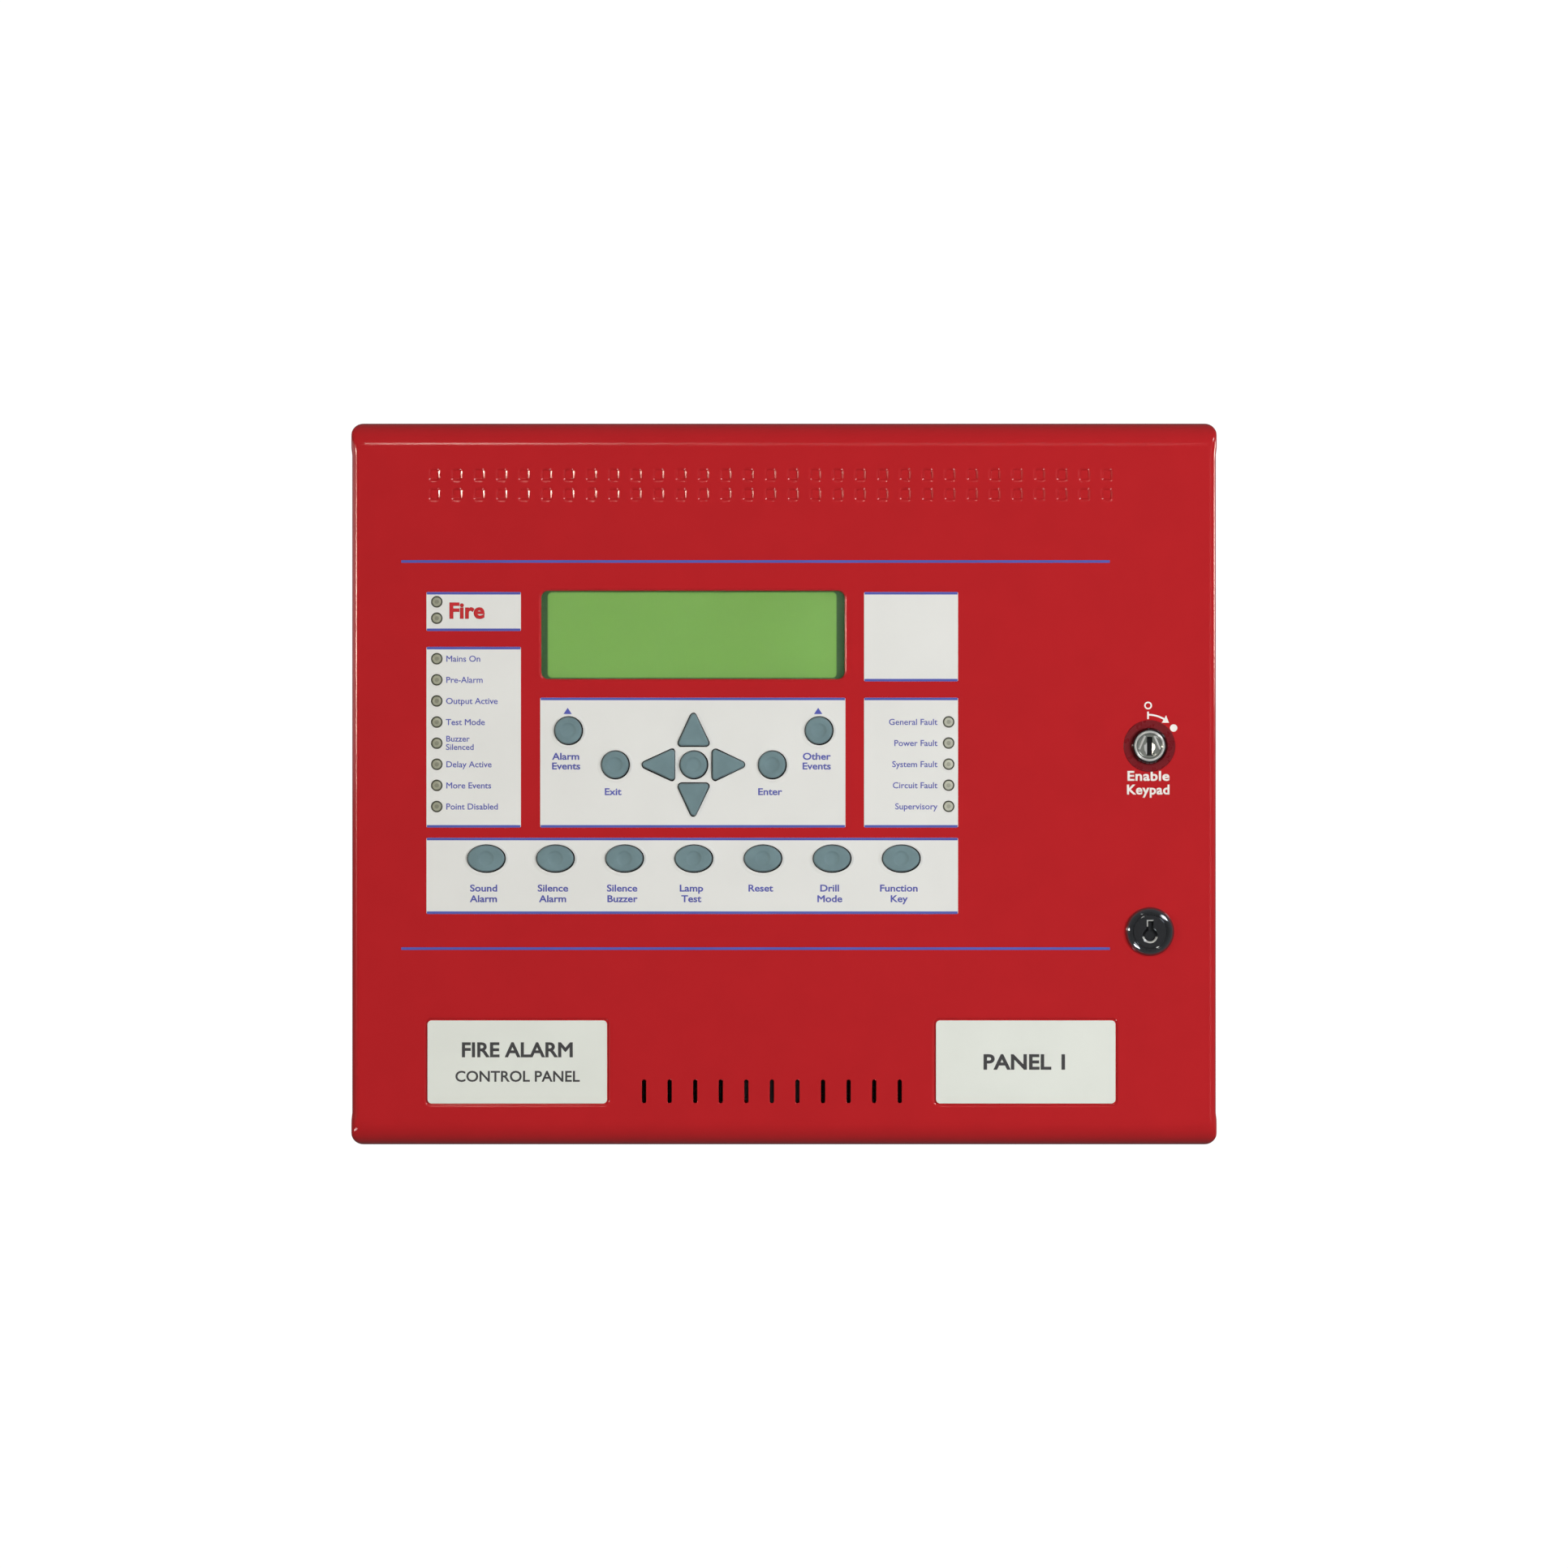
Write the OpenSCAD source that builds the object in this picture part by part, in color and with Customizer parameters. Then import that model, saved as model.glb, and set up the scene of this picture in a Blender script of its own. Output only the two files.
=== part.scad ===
// Fire alarm control panel: a wall case in folded steel with a hinged front door.
// X runs to the viewer's right, Z up, and the front faces -Y. The origin lies on the
// back face, at the middle of the four wall holes. All sizes are in millimetres.

/* [Case and door] */
// width of the door, the widest piece
door_w = 385; // [380:1:400]
// height of the door
door_h = 321; // [318:1:336]
// depth from the wall to the door's front face
case_d = 90; // [85:1:120]
// thickness of the steel sheet
sheet = 1.5; // [1.2:0.1:1.8]
// depth of the door pan, front face to rear edge
door_pan = 22; // [20:1:24]
// outside radius of the door's top and bottom front bends
bend_r = 9.5; // [8:0.5:10]
// outside radius of the door's left and right front bends
side_r = 2; // [1.6:0.1:3]
// corner radius of the door seen from the front
corner_r = 7; // [5:0.5:9]
// gap between the case's side wall and the door's outside
side_gap = 7.5; // [7.5:0.5:9]
// gap between the case's top wall and the door's outside
top_gap = 4; // [3.5:0.5:6]
// width of the lip turned in around the case's mouth
lip = 8; // [6:1:9]

/* [Hinge] */
// outside diameter of the hinge knuckles
knuckle_d = 5; // [4.6:0.1:5]
// length of the hinge
hinge_len = 280; // [240:5:290]
// number of knuckles, odd so that the case holds both ends
knuckles = 9; // [5:2:11]

/* [Display opening] */
// width of the opening over the display
view_w = 134.8; // [130:0.2:136]
// height of the opening over the display
view_h = 39.1; // [36:0.1:40]

/* [Keys] */
// diameter of the round keys and height of the oval keys
key_d = 13.1; // [11:0.1:13.5]
// width of the oval keys
oval_w = 17.4; // [15:0.1:19]
// how far the keys stand out of the door
key_proud = 2; // [1.5:0.1:3]
// how far a key travels
key_travel = 1; // [0.6:0.1:1]

/* [Indicator pockets] */
// number of pocket columns
pocket_cols = 31; // [10:1:31]
// spacing of the pocket columns
pocket_pitch = 9.97; // [9:0.01:9.97]

/* [Locks] */
// diameter of the door lock's head
lock_d = 21.7; // [20:0.1:23]
// diameter of the keyswitch's dress nut
keyswitch_d = 16.8; // [16:0.1:18]

/* [Hidden] */
$fn = 48;
front = -case_d;                 // outer face of the door
inner = front + sheet;           // inner face of the door
box_w = door_w - 2 * side_gap;
box_h = door_h - 2 * top_gap;
mouth = front + sheet + 2.5;     // front of the case's lip
hinge_x = -(box_w / 2 + 3);
hinge_y = front + door_pan + 2;
group_x = -40.5;                 // centre line of the display and keys
view_z = 66.3;
board = inner + 4.5;             // front face of the display board
board_t = 1.6;
lcd_board = board + board_t + 2.4;
panel_x = [-159, 77.4];          // printed area, left and right ends
keyswitch = [162.5, 16.9];
camlock = [162.7, -65.6];
catch_y = front + 13;            // front of the lock's catch
term_y = -14;                    // back of the terminal board
term_front = term_y - board_t;
plate = [79.8, 36.9];
plates = [[-118.6, -123.6], [107.5, -123.6]];
sounder_at = [-5.4, -127];
earth_z = -128;
link_z = 12;                     // centre height of the ribbon cable
box_link_x = -150;
door_link_x = -100;

// key kind, x, z and turn
keys = [
    ["round", group_x - 55.7, 23.8, 0], ["round", group_x - 34.9, 8.6, 0],
    ["round", group_x, 8.6, 0], ["round", group_x + 34.9, 8.6, 0],
    ["round", group_x + 55.7, 23.8, 0],
    ["arrow", group_x, 22.2, 0], ["arrow", group_x - 13.6, 8.6, 90],
    ["arrow", group_x, -5, 180], ["arrow", group_x + 13.6, 8.6, 270],
    for (i = [-3:3]) ["oval", group_x + 30.76 * i, -33.1, 0]
];
// printed fields: left, bottom, right, top
fields = [
    [-159, 68, -117, 85.4], [-159, -19.4, -117, 61], [-108.4, -19.4, 27.3, 38.4],
    [35.6, 45.6, 77.4, 85.4], [35.6, -19.4, 77.4, 38.4], [-159, -57.8, 77.4, -23.9]
];
led_x = -154.7;
fire_leds_at = [for (z = [81, 73.7]) [led_x, z]];
status_leds_at = [for (i = [0:7]) [led_x, 55.7 - 9.39 * i]];
trouble_leds_at = [for (i = [0:4]) [73.2, 27.6 - 9.39 * i]];
leds = concat(fire_leds_at, status_leds_at, trouble_leds_at);
board_studs = [for (x = [-158.5, 77.5], z = [-56, 95.8]) [x, z]];
lcd_studs = [for (x = [-88, 88], z = [-29.5, 29.5]) [group_x + x, view_z + z]];
term_studs = [for (x = [-157, 93], z = [-57, 67]) [x, z]];
block_rows = [[60, 1], [-48, -1]];   // height of a row of blocks and its wire side
block_xs = [for (i = [0:5]) -132 + 36 * i];
way = 5.08;

// ---- shared shapes ----

// a drawing of the front, x across and z up, as a slab from y0 back to y1
module slab(y0, y1) {
    translate([0, y1, 0]) rotate([90, 0, 0]) linear_extrude(y1 - y0) children();
}

module rounded_rect(w, h, r) {
    square([w, h - 2 * r], center = true);
    square([w - 2 * r, h], center = true);
    for (x = [-1, 1], z = [-1, 1]) translate([x * (w / 2 - r), z * (h / 2 - r)]) circle(r);
}

// a rounded rectangle from its left, bottom, right and top
module field(f, r) {
    translate([(f[0] + f[2]) / 2, (f[1] + f[3]) / 2]) rounded_rect(f[2] - f[0], f[3] - f[1], r);
}

// a block from one corner to the opposite one
module block(a, b) {
    translate(a) cube(b - a);
}

// a round bar along y at one place on the front
module bar(at, y0, y1, r) {
    translate([at[0], y1, at[1]]) rotate([90, 0, 0]) cylinder(h = y1 - y0, r = r);
}

// a hexagonal nut along y, given across flats, with flats facing left and right
module nut(at, y0, y1, flats, hole_r) {
    difference() {
        translate([at[0], y1, at[1]]) rotate([90, 30, 0])
            cylinder(h = y1 - y0, r = flats / sqrt(3), $fn = 6);
        bar(at, y0 - 1, y1 + 1, hole_r);
    }
}

module tube(at, y0, y1, r, hole_r) {
    difference() {
        bar(at, y0, y1, r);
        bar(at, y0 - 1, y1 + 1, hole_r);
    }
}

// section of a tray, rounded where the sides meet the front
module tray_section(w, d, r) {
    translate([-w / 2, r]) square([w, d - r]);
    translate([-w / 2 + r, 0]) square([w - 2 * r, d]);
    for (s = [-1, 1]) translate([s * (w / 2 - r), r]) circle(r);
}

// a solid tray block with its front face at y = 0
module tray(w, h, d, top_r, edge_r, plan_r) {
    intersection() {
        rotate([0, -90, 0]) linear_extrude(w + 2, center = true) tray_section(h, d, top_r);
        linear_extrude(h + 2, center = true) tray_section(w, d, edge_r);
        slab(0, d) rounded_rect(w, h, plan_r);
    }
}

// outline of a rounded triangle pointing up, widened by grow
module arrow(grow) {
    round_r = 1.4;
    side = 5.75;
    low = -4;
    top = 7.9;
    tilt = atan2(side, top - low);
    // each corner's centre, and where its round starts and ends
    corners = [[side, low, -90, tilt], [0, top, tilt, 180 - tilt], [-side, low, 180 - tilt, 270]];
    polygon([for (c = corners, i = [0:8]) let (turn = c[2] + (c[3] - c[2]) * i / 8)
             [c[0], c[1]] + (round_r + grow) * [cos(turn), sin(turn)]]);
}

module key_outline(kind, grow) {
    if (kind == "round") circle(key_d / 2 + grow);
    if (kind == "oval")
        polygon([for (i = [0:71]) [(oval_w / 2 + grow) * cos(5 * i), (key_d / 2 + grow) * sin(5 * i)]]);
    if (kind == "arrow") arrow(grow);
}

module key_outlines(grow) {
    for (k = keys) translate([k[1], k[2]]) rotate(k[3]) key_outline(k[0], grow);
}

module led_holes(r) {
    for (p = leds) translate(p) circle(r);
}

// ---- case ----

module back_box() color([0.69, 0.14, 0.16]) difference() {
    slab(mouth, 0) rounded_rect(box_w, box_h, 4);
    slab(mouth + sheet, -sheet) rounded_rect(box_w - 2 * sheet, box_h - 2 * sheet, 2.5);
    slab(mouth - 1, mouth + sheet + 1) rounded_rect(box_w - 2 * lip, box_h - 2 * lip, 3);
    for (x = [-150, 150], z = [-110, 110]) bar([x, z], -sheet - 1, 1, 3.25);
    for (x = [-60, 60]) translate([x, -36, box_h / 2 - sheet - 1]) cylinder(h = 4, r = 10.25);
    for (x = [-120, 0, 120]) translate([x, -36, box_h / 2 - 0.7]) knockout_ring();
    for (x = [-120, -60, 0, 60, 120])
        translate([x, -36, 0.7 - box_h / 2]) mirror([0, 0, 1]) knockout_ring();
}

// the sheared ring around a knock-out disc
module knockout_ring() {
    difference() {
        cylinder(h = 2, r = 10.6);
        translate([0, 0, -1]) cylinder(h = 4, r = 10.1);
    }
}

module lock_catch() color([0.72, 0.73, 0.75]) {
    block([box_w / 2 - sheet - 9.5, catch_y, camlock[1] - 18],
          [box_w / 2 - sheet, catch_y + 1.5, camlock[1] + 18]);
    block([box_w / 2 - sheet - 1.5, catch_y + 1.5, camlock[1] - 18],
          [box_w / 2 - sheet, catch_y + 16, camlock[1] + 18]);
}

module box_gasket() color([0.08, 0.08, 0.08]) slab(inner + 0.05, mouth) difference() {
    rounded_rect(box_w - 9, box_h - 12, 3);
    rounded_rect(box_w - 15, box_h - 18, 2);
}

// the knuckles of one leaf, starting from the first or the second
module knuckle_row(first) {
    pitch = hinge_len / knuckles;
    for (i = [first:2:knuckles - 1])
        translate([hinge_x, hinge_y, -hinge_len / 2 + i * pitch + 0.1])
            difference() {
                union() {
                    cylinder(h = pitch - 0.2, d = knuckle_d);
                    leaf_root(first, pitch - 0.2);
                }
                translate([0, 0, -1]) cylinder(h = pitch + 2, r = 1.3);
            }
}

// the strip that joins a knuckle to its leaf
module leaf_root(first, h) {
    if (first == 0) translate([knuckle_d / 2 - 0.5, 0, 0]) cube([3.5 - knuckle_d / 2, 4, h]);
    if (first == 1) translate([-3, -4, 0]) cube([3.5 - knuckle_d / 2, 4, h]);
}

module box_hinge_leaf() color([0.62, 0.63, 0.65]) {
    knuckle_row(0);
    block([hinge_x + 2, hinge_y + 3.4, -hinge_len / 2], [hinge_x + 3, hinge_y + 20, hinge_len / 2]);
}

module door_hinge_leaf() color([0.62, 0.63, 0.65]) {
    knuckle_row(1);
    block([hinge_x - 3, front + 5, -hinge_len / 2], [hinge_x - 2, hinge_y - 3.4, hinge_len / 2]);
}

module hinge_pin() color([0.75, 0.76, 0.78]) translate([hinge_x, hinge_y, -hinge_len / 2 - 1]) {
    cylinder(h = hinge_len + 2, r = 1.25);
    translate([0, 0, -0.2]) cylinder(h = 1.2, r = 2);
    translate([0, 0, hinge_len + 1]) cylinder(h = 1.2, r = 2);
}

// ---- inside the case ----

module box_studs() color([0.75, 0.76, 0.78]) {
    for (p = term_studs) {
        bar(p, term_y, -sheet, 3);
        bar(p, term_front - 4, term_y, 1.5);
    }
    bar([box_link_x, earth_z], -14, -sheet, 2);
}

module box_nuts() color([0.8, 0.81, 0.83]) {
    for (p = term_studs) nut(p, term_front - 2.4, term_front, 5.5, 1.55);
    nut([box_link_x, earth_z], -5, -sheet, 7, 2.05);
    nut([box_link_x, earth_z], -10.2, -7, 7, 2.05);
}

module terminal_board() color([0.05, 0.35, 0.2]) slab(term_front, term_y) difference() {
    field([-163, -63, 99, 73], 2);
    for (p = term_studs) translate(p) circle(1.6);
}

module terminal_blocks() color([0.12, 0.42, 0.26]) {
    for (row = block_rows, x = block_xs) difference() {
        block([x, term_front - 12, row[0] - 6], [x + 5 * way, term_front, row[0] + 6]);
        for (i = [0:4]) {
            bar([x + (i + 0.5) * way, row[0] - row[1]], term_front - 13, term_front - 6, 1.9);
            translate([x + (i + 0.5) * way, term_front - 4, row[0] + row[1] * 3])
                mirror([0, 0, row[1] < 0 ? 1 : 0]) cylinder(h = 4, r = 1.6);
        }
    }
}

module terminal_screws() color([0.8, 0.81, 0.83]) {
    for (row = block_rows, x = block_xs, i = [0:4]) {
        at = [x + (i + 0.5) * way, row[0] - row[1]];
        difference() {
            bar(at, term_front - 9.5, term_front - 6, 1.8);
            translate([at[0], term_front - 9.5, at[1]]) cube([3.8, 1.6, 0.6], center = true);
        }
    }
}

module relays() color([0.9, 0.9, 0.88]) {
    for (i = [0:3])
        block([-84 + 26 * i, term_front - 16, 16], [-64 + 26 * i, term_front, 32]);
}

module board_parts() color([0.1, 0.1, 0.11]) {
    block([-40, term_front - 2.4, -26], [-16, term_front, -2]);
    for (x = [-86, -70, 2, 18]) block([x, term_front - 2, -16], [x + 6, term_front, -11]);
    for (x = [-116, -102, 60]) bar([x, -10], term_front - 14, term_front, 5);
    for (x = [58, 74]) block([x, term_front - 9, 12], [x + 9, term_front, 34]);
}

module box_header() color([0.15, 0.15, 0.16]) {
    block([box_link_x - 4.5, term_front - 9, link_z - 21], [box_link_x + 4.5, term_front, link_z + 21]);
    block([box_link_x - 3, term_front - 13, link_z - 17.5],
          [box_link_x + 3, term_front - 9, link_z + 17.5]);
}

module ribbon_cable() color([0.6, 0.61, 0.62]) translate([0, 0, link_z - 16.5]) linear_extrude(33) {
    turn_y = front + 30;
    translate([box_link_x - 0.5, turn_y + 6]) square([1, term_front - 13 - turn_y - 6]);
    intersection() {
        translate([box_link_x + 6, turn_y + 6]) ring(6.5, 5.5);
        translate([box_link_x - 1, turn_y - 1]) square(7);
    }
    translate([box_link_x + 6, turn_y - 0.5]) square([door_link_x - box_link_x - 12, 1]);
    intersection() {
        translate([door_link_x - 6, turn_y - 6]) ring(6.5, 5.5);
        translate([door_link_x - 6, turn_y - 6]) square(7);
    }
    translate([door_link_x - 0.5, board + board_t + 13])
        square([1, turn_y - 6 - board - board_t - 13]);
}

module ring(r, hole_r) {
    difference() {
        circle(r);
        circle(hole_r);
    }
}

// a quarter bend of wire about the origin, from +X round to +Y
module wire_bend(r, wire_r) {
    rotate_extrude(angle = 90) translate([r, 0]) circle(wire_r);
}

module earth_lead() color([0.35, 0.6, 0.2]) {
    run_z = earth_z + 20;
    run_y = front + 28;
    door_y = inner + 3.9;
    for (p = [[box_link_x, -6], [door_link_x, door_y]]) {
        slab(p[1] - 1, p[1] + 1) difference() {
            union() {
                translate([p[0], earth_z]) circle(5);
                translate([p[0] - 2.5, earth_z]) square([5, 9]);
            }
            translate([p[0], earth_z]) circle(2.1);
        }
        translate([p[0], p[1], earth_z + 7]) cylinder(h = 7, r = 1.8);
    }
    translate([box_link_x, -12, run_z - 6]) rotate([90, 0, 90]) wire_bend(6, 1.8);
    bar([box_link_x, run_z], run_y + 8, -12, 1.8);
    translate([box_link_x + 8, run_y + 8, run_z]) rotate(180) wire_bend(8, 1.8);
    translate([box_link_x + 8, run_y, run_z]) rotate([0, 90, 0])
        cylinder(h = door_link_x - box_link_x - 16, r = 1.8);
    translate([door_link_x - 8, run_y - 8, run_z]) wire_bend(8, 1.8);
    bar([door_link_x, run_z], door_y + 6, run_y - 8, 1.8);
    translate([door_link_x, door_y + 6, run_z - 6]) rotate([90, 0, -90]) wire_bend(6, 1.8);
}

// ---- door ----

module door_shell() color([0.69, 0.14, 0.16]) difference() {
    translate([0, front, 0]) tray(door_w, door_h, door_pan, bend_r, side_r, corner_r);
    translate([0, inner, 0]) tray(door_w - 2 * sheet, door_h - 2 * sheet, door_pan,
                                  bend_r - sheet, side_r - sheet, corner_r - sheet);
    slab(front - 1, inner + 1) door_openings();
    slab(front - 1, front + 0.8) {
        for (i = [0:pocket_cols - 1], z = [137.6, 128.9])
            translate([-155.7 + i * pocket_pitch, z]) rounded_rect(5.2, 6.3, 1);
        for (p = plates) translate(p) rounded_rect(plate[0] + 2.4, plate[1] + 2.4, 2.6);
    }
}

module door_openings() {
    key_outlines(0.35);
    led_holes(2.85);
    translate([group_x, view_z]) rounded_rect(view_w, view_h, 3);
    for (i = [-5:5]) translate([-5.4 + i * 11.37, -136.7]) {
        square([1.8, 8.7], center = true);
        for (z = [-4.35, 4.35]) translate([0, z]) circle(0.9);
    }
    translate(keyswitch) circle(7);
    translate(camlock) circle(9.5);
}

module front_fields() color([0.88, 0.89, 0.88]) slab(front - 0.2, front) difference() {
    for (f = fields) field(f, 0.6);
    key_outlines(0.35);
    led_holes(2.85);
}

module name_plates() color([0.88, 0.9, 0.87]) slab(front - 0.2, front + 0.8)
    for (p = plates) translate(p) rounded_rect(plate[0], plate[1], 1.8);

module vent_screen() color([0.06, 0.06, 0.06])
    slab(inner, inner + 0.4) translate([-5.4, -136.7]) rounded_rect(122, 16, 1);

module sounder() color([0.1, 0.1, 0.11]) {
    difference() {
        bar(sounder_at, inner + 0.4, inner + 12, 18);
        bar(sounder_at, inner + 11, inner + 13, 15);
        bar(sounder_at, inner + 8, inner + 13, 2.5);
    }
    slab(inner + 0.4, inner + 2.4) difference() {
        translate(sounder_at) translate([0, 8]) rounded_rect(48, 9, 4);
        for (s = [-1, 1]) translate(sounder_at + [s * 20.5, 8]) circle(1.6);
        translate(sounder_at) circle(17);
    }
}

// ---- display ----

module lcd_window() color([0.8, 0.9, 0.85, 0.35])
    slab(inner, inner + 1.2) translate([group_x, view_z]) rounded_rect(146, 50, 2);

module lcd_bezel() color([0.1, 0.1, 0.11]) difference() {
    slab(inner + 1.3, lcd_board) translate([group_x, view_z]) rounded_rect(148, 52, 1);
    slab(inner + 1, inner + 3) translate([group_x, view_z]) rounded_rect(137, 41.5, 1);
    slab(inner + 2.1, lcd_board + 1) translate([group_x, view_z]) square([146, 50], center = true);
}

module lcd_glass() color([0.47, 0.67, 0.31])
    slab(inner + 2.1, lcd_board) translate([group_x, view_z]) square([145.6, 49.6], center = true);

module lcd_board() color([0.05, 0.35, 0.2])
    slab(lcd_board, lcd_board + board_t) translate([group_x, view_z]) difference() {
        rounded_rect(184, 66, 1.5);
        for (x = [-88, 88], z = [-29.5, 29.5]) translate([x, z]) circle(1.6);
    }

module display_board() color([0.05, 0.35, 0.2]) slab(board, board + board_t) difference() {
    field([-164, -62, 83, 101], 2);
    translate([group_x, view_z]) rounded_rect(150, 54, 1);
    for (p = concat(board_studs, lcd_studs)) translate(p) circle(1.6);
}

module display_parts() color([0.1, 0.1, 0.11]) {
    y = board + board_t;
    block([-52, y, -12], [-32, y + 2, 8]);
    for (x = [-76, -20, 4]) block([x, y, -44], [x + 12, y + 1.8, -36]);
    for (x = [20, 34]) bar([x, 0], y, y + 8, 4);
    block([66, y, 2], [78, y + 6, 20]);
    block([-12, y, 12], [-4, y + 2.5, 24]);
}

module door_studs() color([0.75, 0.76, 0.78]) {
    for (p = board_studs) bar(p, inner, board + board_t + 4, 1.5);
    for (p = lcd_studs) bar(p, inner, lcd_board + board_t + 4, 1.5);
    for (s = [-1, 1]) bar(sounder_at + [s * 20.5, 8], inner, inner + 6, 1.5);
    bar([door_link_x, earth_z], inner, inner + 10, 2);
}

module door_spacers() color([0.88, 0.87, 0.82]) {
    for (p = concat(board_studs, lcd_studs)) tube(p, inner, board, 2.6, 1.55);
    for (p = lcd_studs) tube(p, board + board_t, lcd_board, 2.6, 1.55);
}

module door_nuts() color([0.8, 0.81, 0.83]) {
    for (p = board_studs) nut(p, board + board_t, board + board_t + 2.4, 5.5, 1.55);
    for (p = lcd_studs) nut(p, lcd_board + board_t, lcd_board + board_t + 2.4, 5.5, 1.55);
    for (s = [-1, 1]) nut(sounder_at + [s * 20.5, 8], inner + 2.4, inner + 4.8, 5.5, 1.55);
    nut([door_link_x, earth_z], inner, inner + 2.9, 7, 2.05);
    nut([door_link_x, earth_z], inner + 4.9, inner + 8.1, 7, 2.05);
}

module keypad_mat() color([0.35, 0.42, 0.43]) slab(inner, inner + 1.6) difference() {
    union() {
        field([-107, -22, 26, 37], 2);
        field([-150, -46, 69, -19], 2);
    }
    key_outlines(1.1);
}

module led(at) {
    bar(at, front, board, 2.6);
    bar(at, board - 1, board, 3);
    intersection() {
        translate([at[0], front + 3.3, at[1]]) sphere(4.2);
        bar(at, front - 1, front, 2.6);
    }
}

module fire_leds() color([0.6, 0.61, 0.55]) for (p = fire_leds_at) led(p);
module status_leds() color([0.6, 0.61, 0.55]) for (p = status_leds_at) led(p);
module trouble_leds() color([0.68, 0.69, 0.64]) for (p = trouble_leds_at) led(p);

module door_header() color([0.15, 0.15, 0.16]) {
    y = board + board_t;
    block([door_link_x - 4.5, y, link_z - 21], [door_link_x + 4.5, y + 9, link_z + 21]);
    block([door_link_x - 3, y + 9, link_z - 17.5], [door_link_x + 3, y + 13, link_z + 17.5]);
}

module door_leads() color([0.2, 0.2, 0.22]) {
    y = board + board_t;
    for (z = [8, 13]) {
        bar([72, z], y + 6, y + 8, 0.8);
        translate([76, y + 8, z]) rotate([0, 0, 90]) wire_bend(4, 0.8);
        translate([76, y + 12, z]) rotate([0, 90, 0]) cylinder(h = 78, r = 0.8);
    }
}

// ---- locks ----

module keyswitch_washer() color([0.42, 0.08, 0.1]) tube(keyswitch, front - 0.4, front, 11.5, 7);

module keyswitch_body() color([0.82, 0.83, 0.85]) tube(keyswitch, front - 3, front + 20, 6.9, 5.65);

module keyswitch_nuts() color([0.85, 0.86, 0.88]) {
    tube(keyswitch, front - 3.2, front - 0.4, keyswitch_d / 2, 6.95);
    nut(keyswitch, inner, inner + 3, 19, 6.95);
}

module keyswitch_plug() color([0.8, 0.8, 0.82]) difference() {
    bar(keyswitch, front - 2.8, front + 19.8, 5.6);
    slab(front - 4, front + 8) translate(keyswitch) square([2.2, 8], center = true);
}

module keyswitch_contacts() color([0.12, 0.12, 0.13]) {
    slab(front + 20, front + 30) translate(keyswitch) rounded_rect(17, 22, 1);
    for (z = [-5, 5]) block([keyswitch[0] - 2.4, front + 30, keyswitch[1] + z - 0.4],
                            [keyswitch[0] + 2.4, front + 36, keyswitch[1] + z + 0.4]);
}

module camlock_body() color([0.8, 0.8, 0.82]) difference() {
    union() {
        bar(camlock, front - 2, front, lock_d / 2);
        translate([camlock[0], front - 2, camlock[1]]) rotate([90, 0, 0])
            cylinder(h = 1.2, r1 = lock_d / 2, r2 = lock_d / 2 - 1.6);
        bar(camlock, front, front + 15.5, 9.4);
    }
    bar(camlock, front - 4, front + 16, 7.45);
}

module camlock_nut() color([0.78, 0.78, 0.8]) nut(camlock, inner, inner + 4, 22, 9.45);

// the lock's plug with the cam screwed to its tail; at rest the cam points up
module camlock_plug() color([0.8, 0.8, 0.82]) difference() {
    union() {
        bar(camlock, front - 3.2, front + 15.6, 7.4);
        slab(front + 15.6, front + 17.6) translate(camlock) {
            rounded_rect(12, 12, 2);
            translate([-6, 0]) square([12, 14]);
            translate([-4, 10]) square([8, 8.8]);
        }
        nut(camlock, front + 17.6, front + 20.6, 10, 1);
    }
    slab(front - 4, front + 5) translate(camlock) {
        translate([-1.5, -1]) square([3, 6.2]);
        translate([0, -1.8]) circle(3.4);
    }
}

// ---- keys ----

// a key: the cap in front, a flange behind the door and a contact pad at the back
module key(i) color([0.45, 0.55, 0.57]) {
    k = keys[i];
    difference() {
        slab(front - key_proud, inner + 0.1) key_at(k, 0);
        translate([k[1], front - key_proud - 17.6, k[2]]) sphere(18);
    }
    slab(inner + 0.1, inner + 1.1) key_at(k, 0.7);
    bar([k[1], k[2]], inner + 1.1, board - key_travel - 0.1, 3);
}

module key_at(k, grow) {
    translate([k[1], k[2]]) rotate(k[3]) key_outline(k[0], grow);
}

module key_fire_events() key(0);
module key_exit() key(1);
module key_select() key(2);
module key_enter() key(3);
module key_more_events() key(4);
module key_up() key(5);
module key_left() key(6);
module key_down() key(7);
module key_right() key(8);
module key_resound() key(9);
module key_alarm_silence() key(10);
module key_sounder_silence() key(11);
module key_lamp_test() key(12);
module key_reset() key(13);
module key_fire_drill() key(14);
module key_programmable() key(15);

back_box();
lock_catch();
box_gasket();
box_hinge_leaf();
hinge_pin();
box_studs();
box_nuts();
terminal_board();
terminal_blocks();
terminal_screws();
relays();
board_parts();
box_header();
ribbon_cable();
earth_lead();
door_shell();
door_hinge_leaf();
front_fields();
name_plates();
lcd_window();
lcd_bezel();
lcd_glass();
lcd_board();
display_board();
display_parts();
door_studs();
door_spacers();
door_nuts();
keypad_mat();
fire_leds();
status_leds();
trouble_leds();
door_header();
door_leads();
sounder();
vent_screen();
keyswitch_washer();
keyswitch_body();
keyswitch_nuts();
keyswitch_contacts();
camlock_body();
camlock_nut();
keyswitch_plug();
camlock_plug();
key_fire_events();
key_exit();
key_select();
key_enter();
key_more_events();
key_up();
key_left();
key_down();
key_right();
key_resound();
key_alarm_silence();
key_sounder_silence();
key_lamp_test();
key_reset();
key_fire_drill();
key_programmable();
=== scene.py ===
"""Fire alarm control panel: finished surfaces, details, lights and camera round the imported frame.

Lengths in the code are millimetres on the front (x to the right, z up) unless a name says metres.
"""
import copy
import math
import random

import bmesh
import bpy
from mathutils import Matrix, Vector


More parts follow.
